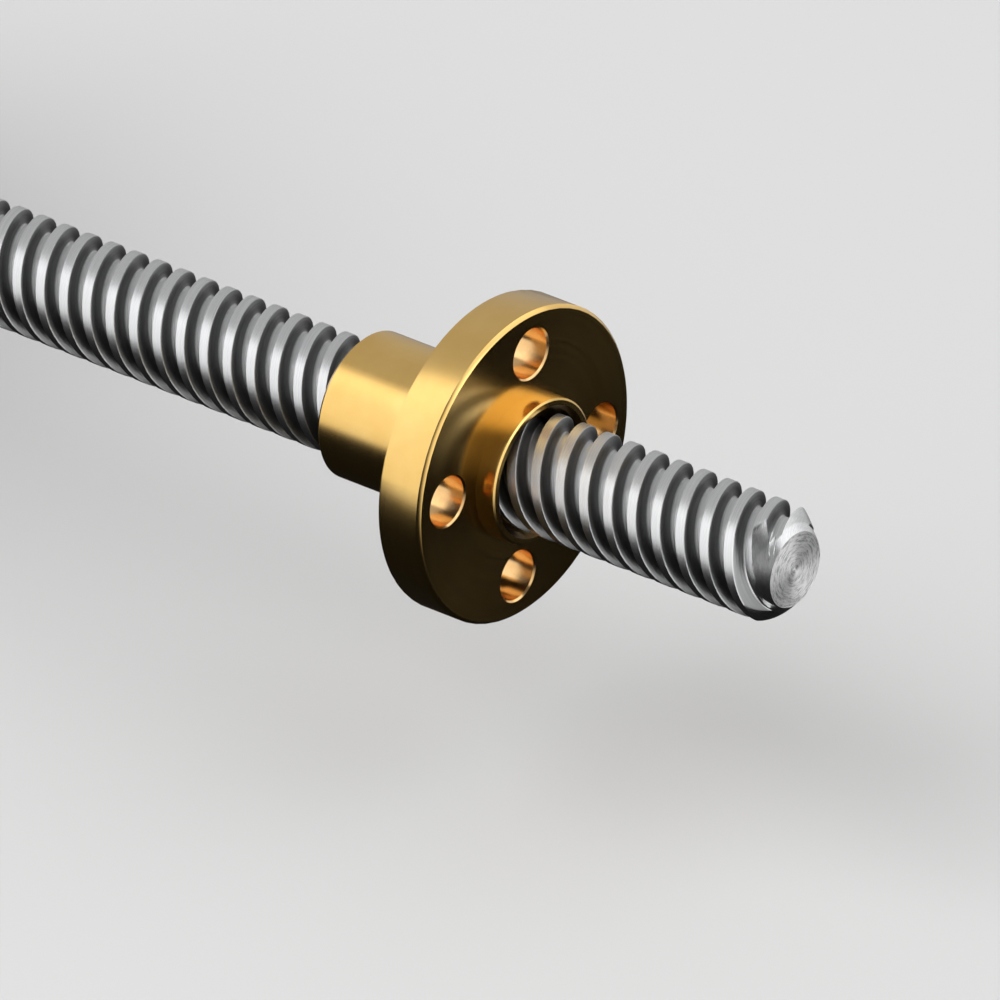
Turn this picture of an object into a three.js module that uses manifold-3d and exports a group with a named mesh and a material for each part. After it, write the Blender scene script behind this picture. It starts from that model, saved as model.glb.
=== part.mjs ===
// A NEMA 17 hybrid stepper motor whose shaft is a T8 lead screw, with the screw's flanged brass nut.
//
// Millimetres, +Z up. The motor lies on one of its side faces, at z = 0. +X runs from the motor to
// the free end of the screw. Inside the assembly group, x is measured from the motor's mounting
// face, and y and z from the screw's axis.

import * as THREE from 'three';
import { mergeVertices } from 'three/addons/utils/BufferGeometryUtils.js';
import Module from 'manifold-3d';

const wasm = await Module();
wasm.setup();

const TAU = 2 * Math.PI;
const AXIS = new THREE.Vector3(1, 0, 0);
const degrees = THREE.MathUtils.degToRad;

// ---------------------------------------------------------------- driving dimensions

const FIT = 0.02; // radial play left between pieces that are pressed together
const OVER = 1; // how far a cutting solid reaches beyond the faces it cuts

// Sides of round solids. Pieces that fit into each other have the same count.
const ROUND = 20;
const WIDE_ROUND = 36;
const SMALL_ROUND = 12;

// Motor body
const FRAME = 42.3; // side of the square frame
const CAP_CORNER = 3.5; // corner radius of the end caps
const STACK_CHAMFER = 5; // corner chamfer of the lamination stack
const MOTOR_LENGTH = 40;
const FRONT_CAP = 8.5; // length of the front end cap
const STACK = 22; // length of the lamination stack
const STACK_FRONT = -FRONT_CAP;
const STACK_REAR = STACK_FRONT - STACK;
const CAP_WALL = 3.5; // end wall of each cap, round its bearing seat
const CAVITY = 18.4; // inner radius of both caps, round the coil heads
const SEAT_WALL = 10; // outer radius of the ring that holds a bearing
const PILOT = { radius: 11, height: 2, chamfer: 0.3 };
const SHAFT_HOLE = 4.5; // radius of the hole that the screw leaves through
const REAR_HOLE = 3.2;

// Case screws, M3, from the rear cap into the front cap's threads
const BOLT = {
  spacing: 31,
  hole: 1.5,
  clearance: 1.6,
  shank: 1.4,
  head: 2.75,
  headHeight: 2,
  dome: 0.6,
  point: 0.4,
  tip: -5.2,
};
const COUNTERBORE = { radius: 3.1, depth: 2.4 };
const RECESS = { width: 0.6, length: 3, depth: 1.1 };

// Stator and windings
const POLES = 8;
const YOKE = 18.6; // radius where the slots end
const NECK = 2.2; // half width of a pole
const SHOE = { outer: 14.9, edge: 14.3, halfAngle: degrees(19.8) };
const STATOR_TEETH = { perPole: 6, tip: 13.25, root: 13.9, halfAngle: degrees(1.6) };
const COIL = { inner: 15.2, outer: 17.4, opening: 2.7, halfWidth: 5.1, head: 2.6, corner: 1.8 };
const BOBBIN = {
  bore: 13.9,
  rim: 14.2,
  shelf: 15.1,
  plate: 0.8,
  height: 3.2,
  arm: 2.5,
  armStart: 14.5,
  armEnd: 17.5,
};
const BOARD = { inner: 10.5, outer: 14.5, thickness: 0.8, front: -34.1, tabHalf: 6.5, tabTop: 16 };

// Rotor
const ROTOR_TEETH = 50;
const TOOTH_PITCH = TAU / ROTOR_TEETH;
const CUP = { tip: 13, root: 12.3, halfAngle: degrees(1.5), length: 9.5 };
const MAGNET = { radius: 11.5, length: 2 };
const ROTOR_FRONT = STACK_FRONT - (STACK - 2 * CUP.length - MAGNET.length) / 2;
const ROTOR_REAR = ROTOR_FRONT - 2 * CUP.length - MAGNET.length;
const SPACER = 3.6; // outer radius of the spacers beside the rotor

// Ball bearings, 5 x 16 x 5
const BEARING = { bore: 2.5, outer: 8, width: 5, balls: 7, ball: 1.19, pitch: 5.3 };
const BALL_SIDES = 6;
const RACE = { inner: 4.25, outer: 6.35, groove: 0.2, halfTop: 0.8, halfFloor: 0.45 };
const SHIELD = { inner: 4.32, outer: 6.3, thickness: 0.25, inset: 0.05 };
const CAGE = { inner: 4.95, outer: 5.65, halfWidth: 1.55, pocket: 1.29, sides: 14, pocketSides: 6 };
const FRONT_BEARING = -4; // middle of each bearing
const REAR_BEARING = -35;
const SPRING = {
  inner: 6.5,
  outer: 7.8,
  thickness: 0.25,
  gap: 0.8,
  wave: 0.25,
  waves: 3,
  curveSegments: 12,
};

// Connector on the rear cap, six pins at 2 mm
const SOCKET = {
  front: -35.4,
  width: 4.5,
  halfLength: 6.95,
  floor: 15,
  top: 21,
  wall: 0.6,
  base: 1.5,
};
const NOTCH = { front: -35.2, halfLength: 7.1, floor: 14.8 };
const PIN = { count: 6, pitch: 2, side: 0.64, tail: 15.75, tip: 20.1 };

// Lead screw, four starts, 2 mm pitch
const SCREW_LENGTH = 100; // beyond the mounting face
const STARTS = 4;
const LEAD = 8;
const THREAD_PHASE = degrees(7); // a crest's angle from +Y at the screw's free end
const SLICES = 9; // along one lead
const SCREW = { crest: 4, root: 3, land: degrees(33), flank: degrees(12), chords: 1 };
const SCREW_TIP = 2.78; // radius of the flat end
const THREAD_START = 0.9;
const RUN_IN = 0.6; // radial depth of the chamfer where the thread starts
const COLLAR = { radius: 3.9, rear: FRONT_BEARING + BEARING.width / 2, front: 1.2 };
const JOURNAL = { end: -39, chamfer: 0.4 };

// Nut
const NUT_FACE = SCREW_LENGTH - 22.5; // front face of the flange
const FLANGE = { radius: 11, thickness: 3.5, chamfer: 0.4 };
const HUB = { radius: 5.1, length: 10 };
const BOSS = { length: 1.5, chamfer: 0.3 };
const NUT_THREAD = { crest: 4.25, root: 3.3, land: degrees(50), flank: degrees(12), chords: 2 };
const NUT_MOUTH = { radius: 4.6, depth: 0.9 };
const NUT_HOLES = { count: 4, radius: 1.75, pitch: 8, first: degrees(85.1) };

// ---------------------------------------------------------------- solids

/** A point at a radius and an angle in a section. */
const polar = (radius, angle) => new THREE.Vector2(radius * Math.cos(angle), radius * Math.sin(angle));

/** A closed solid from a geometry, with its shared corners merged and its faces turned outward. */
function solid(geometry) {
  geometry.deleteAttribute('normal');
  geometry.deleteAttribute('uv');
  const { attributes, index } = mergeVertices(geometry, 1e-4);
  const corner = (i) => new THREE.Vector3().fromBufferAttribute(attributes.position, i);
  const faces = [];
  let volume = 0;
  for (let i = 0; i < index.count; i += 3) {
    const face = [index.getX(i), index.getX(i + 1), index.getX(i + 2)];
    if (new Set(face).size === 3) {
      faces.push(face);
      const [a, b, c] = face.map(corner);
      volume += a.dot(b.cross(c));
    }
  }
  const outward = volume > 0 ? faces : faces.map((face) => face.reverse());
  return new wasm.Manifold(
    new wasm.Mesh({
      numProp: 3,
      vertProperties: Float32Array.from(attributes.position.array),
      triVerts: Uint32Array.from(outward.flat()),
    }),
  );
}

/** A solid turned about the screw's axis from [x, radius] points. Off the axis, the profile closes. */
function turned(profile, segments = ROUND) {
  const points = profile.map(([x, radius]) => new THREE.Vector2(radius, x));
  if (points[0].x > 0) points.push(points[0]);
  return solid(new THREE.LatheGeometry(points, segments).rotateZ(-Math.PI / 2));
}

/** A round bar between two stations on the screw's axis. */
const bar = (radius, from, to, segments) =>
  turned([[from, 0], [from, radius], [to, radius], [to, 0]], segments);

/** A ring between two stations on the screw's axis. */
const ring = (inner, outer, from, to, segments) =>
  turned([[from, inner], [from, outer], [to, outer], [to, inner]], segments);

/** The geometry of a section in the YZ plane, extruded along X between two stations. */
function prism(section, from, to, { steps = 1, curveSegments = 2 } = {}) {
  const settings = { depth: to - from, steps, curveSegments, bevelEnabled: false };
  const alongX = new THREE.Matrix4().makeBasis(
    new THREE.Vector3(0, 1, 0),
    new THREE.Vector3(0, 0, 1),
    AXIS,
  );
  return new THREE.ExtrudeGeometry(section, settings).applyMatrix4(alongX).translate(from, 0, 0);
}

/** A box from its lowest and highest corners. */
function block(low, high) {
  const size = high.map((value, i) => value - low[i]);
  const middle = high.map((value, i) => (value + low[i]) / 2);
  return solid(new THREE.BoxGeometry(...size).translate(...middle));
}

/** An outline with round corners, between two stations and as wide on both sides of the axis. */
function roundedRectangle(low, high, halfWidth, radius) {
  const outline = new THREE.Shape();
  const across = halfWidth - radius;
  outline.absarc(high - radius, across, radius, 0, TAU / 4);
  outline.absarc(low + radius, across, radius, TAU / 4, TAU / 2);
  outline.absarc(low + radius, -across, radius, TAU / 2, (3 * TAU) / 4);
  outline.absarc(high - radius, -across, radius, (3 * TAU) / 4, TAU);
  return outline;
}

const capOutline = roundedRectangle(-FRAME / 2, FRAME / 2, FRAME / 2, CAP_CORNER);

/** The same solid at each of the four case screws. */
function atBolts(shape) {
  const at = BOLT.spacing / 2;
  const corners = [[at, at], [-at, at], [-at, -at], [at, -at]];
  return corners.map(([y, z]) => shape.translate([0, y, z]));
}

const joined = (shapes) => shapes.reduce((all, shape) => all.add(shape));

// ---------------------------------------------------------------- thread

/**
 * A section of a four-start thread, with its crests at angles 0, 90, 180 and 270 degrees. Each
 * crest is an arc of one or more chords.
 */
function threadSection({ crest, root, land, flank, chords }) {
  const corners = [];
  for (let start = 0; start < STARTS; start += 1) {
    const middle = (start * TAU) / STARTS;
    const next = middle + TAU / STARTS;
    for (let i = 0; i <= chords; i += 1) {
      corners.push(polar(crest, middle + land * (i / chords - 0.5)));
    }
    corners.push(polar(root, middle + land / 2 + flank), polar(root, next - land / 2 - flank));
  }
  return new THREE.Shape(corners);
}

/** A right-hand threaded bar: a prism whose section turns once in each lead. */
function threaded(profile, from, to) {
  const steps = Math.ceil(((to - from) / LEAD) * SLICES);
  const geometry = prism(threadSection(profile), from, to, { steps });
  const { position } = geometry.attributes;
  const point = new THREE.Vector3();
  for (let i = 0; i < position.count; i += 1) {
    point.fromBufferAttribute(position, i);
    const turn = THREAD_PHASE + ((point.x - SCREW_LENGTH) / LEAD) * TAU;
    point.applyAxisAngle(AXIS, turn);
    position.setXYZ(i, point.x, point.y, point.z);
  }
  return solid(geometry);
}

/** The whole shaft: the threaded rod, the collar in the front cap and the journal in the rotor. */
function leadScrew() {
  const clear = 0.2; // the envelope stands off the crests except at its two chamfers
  const wide = SCREW.crest + clear;
  const tip = SCREW_LENGTH;
  const envelope = turned([
    [THREAD_START, 0],
    [THREAD_START, SCREW.crest - RUN_IN],
    [THREAD_START + RUN_IN + clear, wide],
    [tip - (wide - SCREW_TIP), wide],
    [tip, SCREW_TIP],
    [tip, 0],
  ]);
  const journal = turned([
    [JOURNAL.end, 0],
    [JOURNAL.end, BEARING.bore - JOURNAL.chamfer],
    [JOURNAL.end + JOURNAL.chamfer, BEARING.bore],
    [COLLAR.rear, BEARING.bore],
    [COLLAR.rear, COLLAR.radius],
    [COLLAR.front, COLLAR.radius],
    [COLLAR.front, 0],
  ]);
  return threaded(SCREW, THREAD_START, tip).intersect(envelope).add(journal);
}

/** The flanged nut, with a clearance thread that follows the screw's, and four screw holes. */
function leadNut() {
  const { radius, thickness, chamfer } = FLANGE;
  const rear = NUT_FACE - thickness - HUB.length;
  const front = NUT_FACE + BOSS.length;
  const body = turned([
    [rear, 0],
    [rear, HUB.radius - BOSS.chamfer],
    [rear + BOSS.chamfer, HUB.radius],
    [NUT_FACE - thickness, HUB.radius],
    [NUT_FACE - thickness, radius - chamfer],
    [NUT_FACE - thickness + chamfer, radius],
    [NUT_FACE - chamfer, radius],
    [NUT_FACE, radius - chamfer],
    [NUT_FACE, HUB.radius],
    [front - BOSS.chamfer, HUB.radius],
    [front, HUB.radius - BOSS.chamfer],
    [front, 0],
  ], WIDE_ROUND);
  const mouths = [[front, 1], [rear, -1]].map(([face, way]) =>
    turned([
      [face + way * OVER, 0],
      [face + way * OVER, NUT_MOUTH.radius],
      [face, NUT_MOUTH.radius],
      [face - way * NUT_MOUTH.depth, NUT_THREAD.root],
      [face - way * NUT_MOUTH.depth, 0],
    ]),
  );
  const drill = bar(NUT_HOLES.radius, NUT_FACE - thickness - OVER, NUT_FACE + OVER, SMALL_ROUND);
  const holes = Array.from({ length: NUT_HOLES.count }, (_, i) => {
    const { x, y } = polar(NUT_HOLES.pitch, NUT_HOLES.first + (i * TAU) / NUT_HOLES.count);
    return drill.translate([0, x, y]);
  });
  const tap = threaded(NUT_THREAD, rear - OVER, front + OVER);
  return [tap, ...mouths, ...holes].reduce((shape, cut) => shape.subtract(cut), body);
}

// ---------------------------------------------------------------- motor case

/** The front cap: square flange, round pilot, bearing seat and four threaded holes. */
function frontCap() {
  const { radius, height, chamfer } = PILOT;
  const flange = solid(prism(capOutline, -FRONT_CAP, 0));
  const pilot = turned([
    [-OVER, 0],
    [-OVER, radius],
    [height - chamfer, radius],
    [height, radius - chamfer],
    [height, 0],
  ], WIDE_ROUND);
  const seat = BEARING.outer + FIT;
  const open = -FRONT_CAP - OVER;
  const { rear } = COLLAR;
  const hollow = turned([
    [open, 0],
    [open, CAVITY],
    [-CAP_WALL, CAVITY],
    [-CAP_WALL, SEAT_WALL],
    [FRONT_BEARING - BEARING.width / 2, SEAT_WALL],
    [FRONT_BEARING - BEARING.width / 2, seat],
    [rear, seat],
    [rear, SHAFT_HOLE],
    [height + OVER, SHAFT_HOLE],
    [height + OVER, 0],
  ]);
  const holes = joined(atBolts(bar(BOLT.hole, open, OVER, SMALL_ROUND)));
  return flange.add(pilot).subtract(hollow).subtract(holes);
}

/** The rear cap: bearing seat, counterbored screw holes and the notch for the connector. */
function rearCap() {
  const end = -MOTOR_LENGTH;
  const body = solid(prism(capOutline, end, STACK_REAR));
  const seat = BEARING.outer + FIT;
  const seatFloor = REAR_BEARING - BEARING.width / 2 - SPRING.gap;
  const seatMouth = REAR_BEARING + BEARING.width / 2;
  const hollow = turned([
    [STACK_REAR + OVER, 0],
    [STACK_REAR + OVER, CAVITY],
    [end + CAP_WALL, CAVITY],
    [end + CAP_WALL, SEAT_WALL],
    [seatMouth, SEAT_WALL],
    [seatMouth, seat],
    [seatFloor, seat],
    [seatFloor, REAR_HOLE],
    [end - OVER, REAR_HOLE],
    [end - OVER, 0],
  ]);
  const notch = block(
    [end - OVER, -NOTCH.halfLength, NOTCH.floor],
    [NOTCH.front, NOTCH.halfLength, FRAME / 2 + OVER],
  );
  const clearance = bar(BOLT.clearance, end - OVER, STACK_REAR + OVER, SMALL_ROUND);
  const bore = clearance.add(bar(COUNTERBORE.radius, end - OVER, end + COUNTERBORE.depth));
  return body.subtract(hollow).subtract(notch).subtract(joined(atBolts(bore)));
}

/** A case screw with a pan head and a cross recess, on the screw's axis. */
function caseScrew() {
  const seat = -MOTOR_LENGTH + COUNTERBORE.depth;
  const top = seat - BOLT.headHeight;
  const shape = turned([
    [BOLT.tip, 0],
    [BOLT.tip, BOLT.shank - BOLT.point],
    [BOLT.tip - BOLT.point, BOLT.shank],
    [seat, BOLT.shank],
    [seat, BOLT.head],
    [top + BOLT.dome, BOLT.head],
    [top, BOLT.head - BOLT.dome],
    [top, 0],
  ], SMALL_ROUND);
  const half = RECESS.width / 2;
  const reach = RECESS.length / 2;
  const slot = block([top - OVER, -reach, -half], [top + RECESS.depth, reach, half]);
  const cross = block([top - OVER, -half, -reach], [top + RECESS.depth, half, reach]);
  return shape.subtract(slot.add(cross));
}

// ---------------------------------------------------------------- stator

/** The slots and the toothed bore inside the lamination stack, as one closed outline. */
function statorBore() {
  const points = [];
  const { perPole, tip, root, halfAngle } = STATOR_TEETH;
  for (let pole = 0; pole < POLES; pole += 1) {
    const middle = (pole * TAU) / POLES;
    const place = (radial, across) =>
      new THREE.Vector2(radial, across).rotateAround(new THREE.Vector2(), middle);
    const slotEnd = Math.sqrt(YOKE ** 2 - NECK ** 2);
    points.push(place(slotEnd, -NECK), place(SHOE.outer, -NECK));
    points.push(polar(SHOE.edge, middle - SHOE.halfAngle));
    for (let tooth = 0; tooth < perPole; tooth += 1) {
      const centre = middle + (tooth - (perPole - 1) / 2) * TOOTH_PITCH;
      if (tooth > 0) points.push(polar(root, centre - halfAngle));
      points.push(polar(tip, centre - halfAngle), polar(tip, centre + halfAngle));
      if (tooth < perPole - 1) points.push(polar(root, centre + halfAngle));
    }
    points.push(polar(SHOE.edge, middle + SHOE.halfAngle));
    points.push(place(SHOE.outer, NECK), place(slotEnd, NECK));
    points.push(polar(YOKE, middle + TAU / POLES / 2));
  }
  return new THREE.Path(points);
}

/** The lamination stack: a square with cut corners, eight toothed poles and four screw holes. */
function statorStack() {
  const half = FRAME / 2;
  const flat = half - STACK_CHAMFER;
  const outline = new THREE.Shape();
  for (let side = 0; side < 4; side += 1) {
    const turn = (x, y) => new THREE.Vector2(x, y).rotateAround(new THREE.Vector2(), (side * TAU) / 4);
    const [from, to] = [turn(half, -flat), turn(half, flat)];
    if (side === 0) outline.moveTo(from.x, from.y);
    else outline.lineTo(from.x, from.y);
    outline.lineTo(to.x, to.y);
  }
  outline.holes.push(statorBore());
  const drill = bar(BOLT.clearance, STACK_REAR - OVER, STACK_FRONT + OVER, SMALL_ROUND);
  const holes = joined(atBolts(drill));
  return solid(prism(outline, STACK_REAR, STACK_FRONT)).subtract(holes);
}

/** A coil wound round the pole that points up. */
function coil() {
  const front = STACK_FRONT + BOBBIN.plate;
  const rear = STACK_REAR - BOBBIN.plate;
  const { head, halfWidth, corner, opening, inner, outer } = COIL;
  const outline = roundedRectangle(rear - head, front + head, halfWidth, corner);
  const window = [[rear, -opening], [front, -opening], [front, opening], [rear, opening]];
  outline.holes.push(new THREE.Path(window.map((point) => new THREE.Vector2(...point))));
  const settings = { depth: outer - inner, curveSegments: 1, bevelEnabled: false };
  return solid(new THREE.ExtrudeGeometry(outline, settings).translate(0, 0, inner));
}

/** The insulator at one end of the stack. It covers the poles and holds the coil heads out. */
function bobbin(stackEnd, way) {
  const plateEnd = stackEnd + way * BOBBIN.plate;
  const rimEnd = stackEnd + way * BOBBIN.height;
  const sorted = (from, to) => (from < to ? [from, to] : [to, from]);
  const plate = ring(BOBBIN.bore, BOBBIN.shelf, ...sorted(stackEnd, plateEnd));
  const rim = ring(BOBBIN.rim, BOBBIN.shelf, ...sorted(stackEnd, rimEnd));
  const [low, high] = sorted(stackEnd, plateEnd);
  const arm = block([low, -BOBBIN.arm, BOBBIN.armStart], [high, BOBBIN.arm, BOBBIN.armEnd]);
  const arms = Array.from({ length: POLES }, (_, i) => arm.rotate([(i * 360) / POLES, 0, 0]));
  return joined([plate, rim, ...arms]);
}

/** The ring-shaped board behind the coils, with a tab that meets the connector's pins. */
function windingBoard() {
  const { inner, outer, thickness, front, tabHalf, tabTop } = BOARD;
  const rear = front - thickness;
  const disc = bar(outer, rear, front, WIDE_ROUND);
  const tab = block([rear, -tabHalf, inner], [front, tabHalf, tabTop]);
  return disc.add(tab).subtract(bar(inner, rear - OVER, front + OVER, WIDE_ROUND));
}

// ---------------------------------------------------------------- rotor

/** One toothed half of the rotor. */
function rotorCup(rear, turn) {
  const { tip, root, halfAngle, length } = CUP;
  const points = [];
  for (let tooth = 0; tooth < ROTOR_TEETH; tooth += 1) {
    const centre = turn + tooth * TOOTH_PITCH;
    points.push(polar(root, centre - halfAngle), polar(tip, centre - halfAngle));
    points.push(polar(tip, centre + halfAngle), polar(root, centre + halfAngle));
  }
  const bore = bar(BEARING.bore + FIT, rear - OVER, rear + length + OVER);
  return solid(prism(new THREE.Shape(points), rear, rear + length)).subtract(bore);
}

const sleeve = (outer, rear, front) => ring(BEARING.bore + FIT, outer, rear, front);

// ---------------------------------------------------------------- bearings

/** A bearing ring about x = 0, from the radius away from the balls to the one with the groove. */
function race(back, shoulder, way) {
  const half = BEARING.width / 2;
  const floor = shoulder + way * RACE.groove;
  return turned([
    [-half, back],
    [-half, shoulder],
    [-RACE.halfTop, shoulder],
    [-RACE.halfFloor, floor],
    [RACE.halfFloor, floor],
    [RACE.halfTop, shoulder],
    [half, shoulder],
    [half, back],
  ]);
}

/** A cage about x = 0, with a round pocket for each ball. */
function cage() {
  const { inner, outer, halfWidth, pocket, sides, pocketSides } = CAGE;
  const radial = new THREE.CylinderGeometry(pocket, pocket, 2 * OVER, pocketSides);
  const drill = solid(radial).translate([0, BEARING.pitch, 0]);
  const body = ring(inner, outer, -halfWidth, halfWidth, sides);
  const turns = Array.from({ length: BEARING.balls }, (_, i) => (i * 360) / BEARING.balls);
  return turns.reduce((shape, turn) => shape.subtract(drill.rotate([turn, 0, 0])), body);
}

/** A wave washer about x = 0: a flat ring bent into three waves. */
function waveWasher() {
  const outline = new THREE.Shape();
  outline.absarc(0, 0, SPRING.outer, 0, TAU);
  outline.holes.push(new THREE.Path().absarc(0, 0, SPRING.inner, 0, TAU));
  const half = SPRING.thickness / 2;
  const geometry = prism(outline, -half, half, { curveSegments: SPRING.curveSegments });
  const { position } = geometry.attributes;
  for (let i = 0; i < position.count; i += 1) {
    const angle = Math.atan2(position.getZ(i), position.getY(i));
    position.setX(i, position.getX(i) + SPRING.wave * Math.cos(SPRING.waves * angle));
  }
  return solid(geometry);
}

// ---------------------------------------------------------------- connector

/** A pin's side view, from the board back into the socket and up: [x, z] corners, grown by a margin. */
function pinSolid(margin) {
  const half = PIN.side / 2 + margin;
  const centre = SOCKET.front - SOCKET.width / 2;
  const start = BOARD.front - BOARD.thickness;
  const outline = new THREE.Shape([
    new THREE.Vector2(start, PIN.tail - half),
    new THREE.Vector2(centre - half, PIN.tail - half),
    new THREE.Vector2(centre - half, PIN.tip),
    new THREE.Vector2(centre + half, PIN.tip),
    new THREE.Vector2(centre + half, PIN.tail + half),
    new THREE.Vector2(start, PIN.tail + half),
  ]);
  const geometry = new THREE.ExtrudeGeometry(outline, { depth: 2 * half, bevelEnabled: false });
  return solid(geometry.translate(0, 0, -half).rotateX(Math.PI / 2));
}

const pinPlaces = Array.from({ length: PIN.count }, (_, i) => (i - (PIN.count - 1) / 2) * PIN.pitch);

/** The socket: an open box, with an L-shaped way through its floor for each pin. */
function socketHousing() {
  const { front, width, halfLength, floor, top, wall, base } = SOCKET;
  const rear = front - width;
  const shell = block([rear, -halfLength, floor], [front, halfLength, top]);
  const hollow = block(
    [rear + wall, wall - halfLength, floor + base],
    [front - wall, halfLength - wall, top + OVER],
  );
  const ways = pinPlaces.map((y) => pinSolid(FIT).translate([0, y, 0]));
  return ways.reduce((shape, way) => shape.subtract(way), shell.subtract(hollow));
}

// ---------------------------------------------------------------- finishes

const finish = (color, roughness, metalness) => () =>
  new THREE.MeshStandardMaterial({ color, roughness, metalness });

const brass = finish(0xc39a4a, 0.3, 1);
const screwSteel = finish(0xb9bbbe, 0.35, 1);
const castAluminium = finish(0xb4b6b8, 0.5, 1);
const lamination = finish(0x2b2d31, 0.55, 0.6);
const bearingSteel = finish(0xcfd2d6, 0.15, 1);
const plainSteel = finish(0x8d9095, 0.4, 1);
const magnetBlack = finish(0x3a3c40, 0.5, 0.8);
const copper = finish(0xa5502a, 0.35, 0.9);
const nylon = finish(0xe9e6da, 0.5, 0);
const boardGreen = finish(0x1f5a38, 0.5, 0);
const tinned = finish(0xc9cacc, 0.25, 1);

// ---------------------------------------------------------------- assembly

/** A named piece in a group, from its solid. */
function piece(group, name, shape, material, [x, y, z] = [0, 0, 0]) {
  const { vertProperties, triVerts } = shape.getMesh();
  const geometry = new THREE.BufferGeometry();
  geometry.setAttribute('position', new THREE.BufferAttribute(vertProperties, 3));
  geometry.setIndex(new THREE.BufferAttribute(triVerts, 1));
  geometry.computeVertexNormals();
  const mesh = new THREE.Mesh(geometry, material());
  mesh.name = name;
  mesh.position.set(x, y, z);
  group.add(mesh);
  return mesh;
}

// The housing stands still. The rotor turns in it, each cage follows at its own rate, and the nut
// slides along the screw.
const housing = new THREE.Group();
const rotor = new THREE.Group();
const cages = new THREE.Group();
const nut = new THREE.Group();

function addCase() {
  piece(housing, 'front_end_cap', frontCap(), castAluminium);
  piece(housing, 'rear_end_cap', rearCap(), castAluminium);
  atBolts(caseScrew()).forEach((shape, i) => piece(housing, `case_screw_${i + 1}`, shape, plainSteel));
}

function addStator() {
  piece(housing, 'stator_stack', statorStack(), lamination);
  piece(housing, 'bobbin_front', bobbin(STACK_FRONT, 1), nylon);
  piece(housing, 'bobbin_rear', bobbin(STACK_REAR, -1), nylon);
  const winding = coil();
  for (let pole = 0; pole < POLES; pole += 1) {
    const mesh = piece(housing, `coil_${pole + 1}`, winding, copper);
    mesh.rotation.x = (pole * TAU) / POLES;
  }
  piece(housing, 'winding_board', windingBoard(), boardGreen);
}

function addRotor() {
  const middle = ROTOR_FRONT - CUP.length;
  piece(rotor, 'lead_screw', leadScrew(), screwSteel);
  piece(rotor, 'rotor_cup_front', rotorCup(middle, 0), plainSteel);
  piece(rotor, 'rotor_cup_rear', rotorCup(ROTOR_REAR, TOOTH_PITCH / 2), plainSteel);
  piece(rotor, 'rotor_magnet', sleeve(MAGNET.radius, middle - MAGNET.length, middle), magnetBlack);
  const frontRing = FRONT_BEARING - BEARING.width / 2;
  const rearRing = REAR_BEARING + BEARING.width / 2;
  piece(rotor, 'rotor_spacer_front', sleeve(SPACER, ROTOR_FRONT, frontRing), plainSteel);
  piece(rotor, 'rotor_spacer_rear', sleeve(SPACER, rearRing, ROTOR_REAR), plainSteel);
}

/** One ball bearing: rings, two shields, cage and balls. */
function addBearing(end, x) {
  const { bore, outer, width, balls, ball, pitch } = BEARING;
  const { inner: shieldInner, outer: shieldOuter, thickness, inset } = SHIELD;
  piece(housing, `${end}_bearing_outer_ring`, race(outer, RACE.outer, 1), bearingSteel, [x, 0, 0]);
  piece(rotor, `${end}_bearing_inner_ring`, race(bore + FIT, RACE.inner, -1), bearingSteel, [x, 0, 0]);
  const face = width / 2 - inset;
  const shield = ring(shieldInner, shieldOuter, face - thickness, face);
  piece(housing, `${end}_bearing_shield_1`, shield, tinned, [x, 0, 0]);
  piece(housing, `${end}_bearing_shield_2`, shield, tinned, [x - 2 * face + thickness, 0, 0]);
  piece(cages, `${end}_bearing_cage`, cage(), plainSteel, [x, 0, 0]);
  const sphere = solid(new THREE.SphereGeometry(ball, BALL_SIDES, BALL_SIDES - 2));
  for (let i = 0; i < balls; i += 1) {
    const { x: y, y: z } = polar(pitch, (i * TAU) / balls);
    piece(cages, `${end}_bearing_ball_${i + 1}`, sphere, bearingSteel, [x, y, z]);
  }
}

function addConnector() {
  piece(housing, 'connector_housing', socketHousing(), nylon);
  pinPlaces.forEach((y, i) => piece(housing, `connector_pin_${i + 1}`, pinSolid(0), tinned, [0, y, 0]));
}

addCase();
addStator();
addRotor();
addBearing('front', FRONT_BEARING);
addBearing('rear', REAR_BEARING);
const springPlace = REAR_BEARING - BEARING.width / 2 - SPRING.gap / 2;
piece(housing, 'wave_spring', waveWasher(), plainSteel, [springPlace, 0, 0]);
addConnector();
piece(nut, 'lead_nut', leadNut(), brass);

// The assembly's box has its bottom centre at the origin.
const assembly = new THREE.Group();
assembly.add(housing, rotor, cages, nut);
assembly.position.set((MOTOR_LENGTH - SCREW_LENGTH) / 2, 0, FRAME / 2);

export default assembly;
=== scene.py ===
"""Looks for the stepper motor with its lead screw and nut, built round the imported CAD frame.

Shapes are made in millimetres, with x from the motor's mounting face and y and z from the screw's
axis, and are scaled and moved into the frame when their mesh is made.
"""
import math

import bmesh
import bpy
from mathutils import Matrix, Vector


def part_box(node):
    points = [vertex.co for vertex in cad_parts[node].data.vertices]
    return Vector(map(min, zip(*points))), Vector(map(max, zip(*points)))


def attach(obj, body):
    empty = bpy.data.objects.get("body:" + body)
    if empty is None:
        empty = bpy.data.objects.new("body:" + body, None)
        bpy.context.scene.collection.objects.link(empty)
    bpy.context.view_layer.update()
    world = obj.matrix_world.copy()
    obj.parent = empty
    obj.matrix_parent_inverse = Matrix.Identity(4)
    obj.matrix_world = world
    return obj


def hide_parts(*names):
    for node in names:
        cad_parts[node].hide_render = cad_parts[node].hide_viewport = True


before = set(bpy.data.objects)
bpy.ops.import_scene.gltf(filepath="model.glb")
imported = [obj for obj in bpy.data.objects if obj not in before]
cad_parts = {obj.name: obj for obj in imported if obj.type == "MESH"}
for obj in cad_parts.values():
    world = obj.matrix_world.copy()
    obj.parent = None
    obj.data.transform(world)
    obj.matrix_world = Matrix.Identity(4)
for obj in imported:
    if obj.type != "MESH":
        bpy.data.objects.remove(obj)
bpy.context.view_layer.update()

TAU = 2 * math.pi
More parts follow.
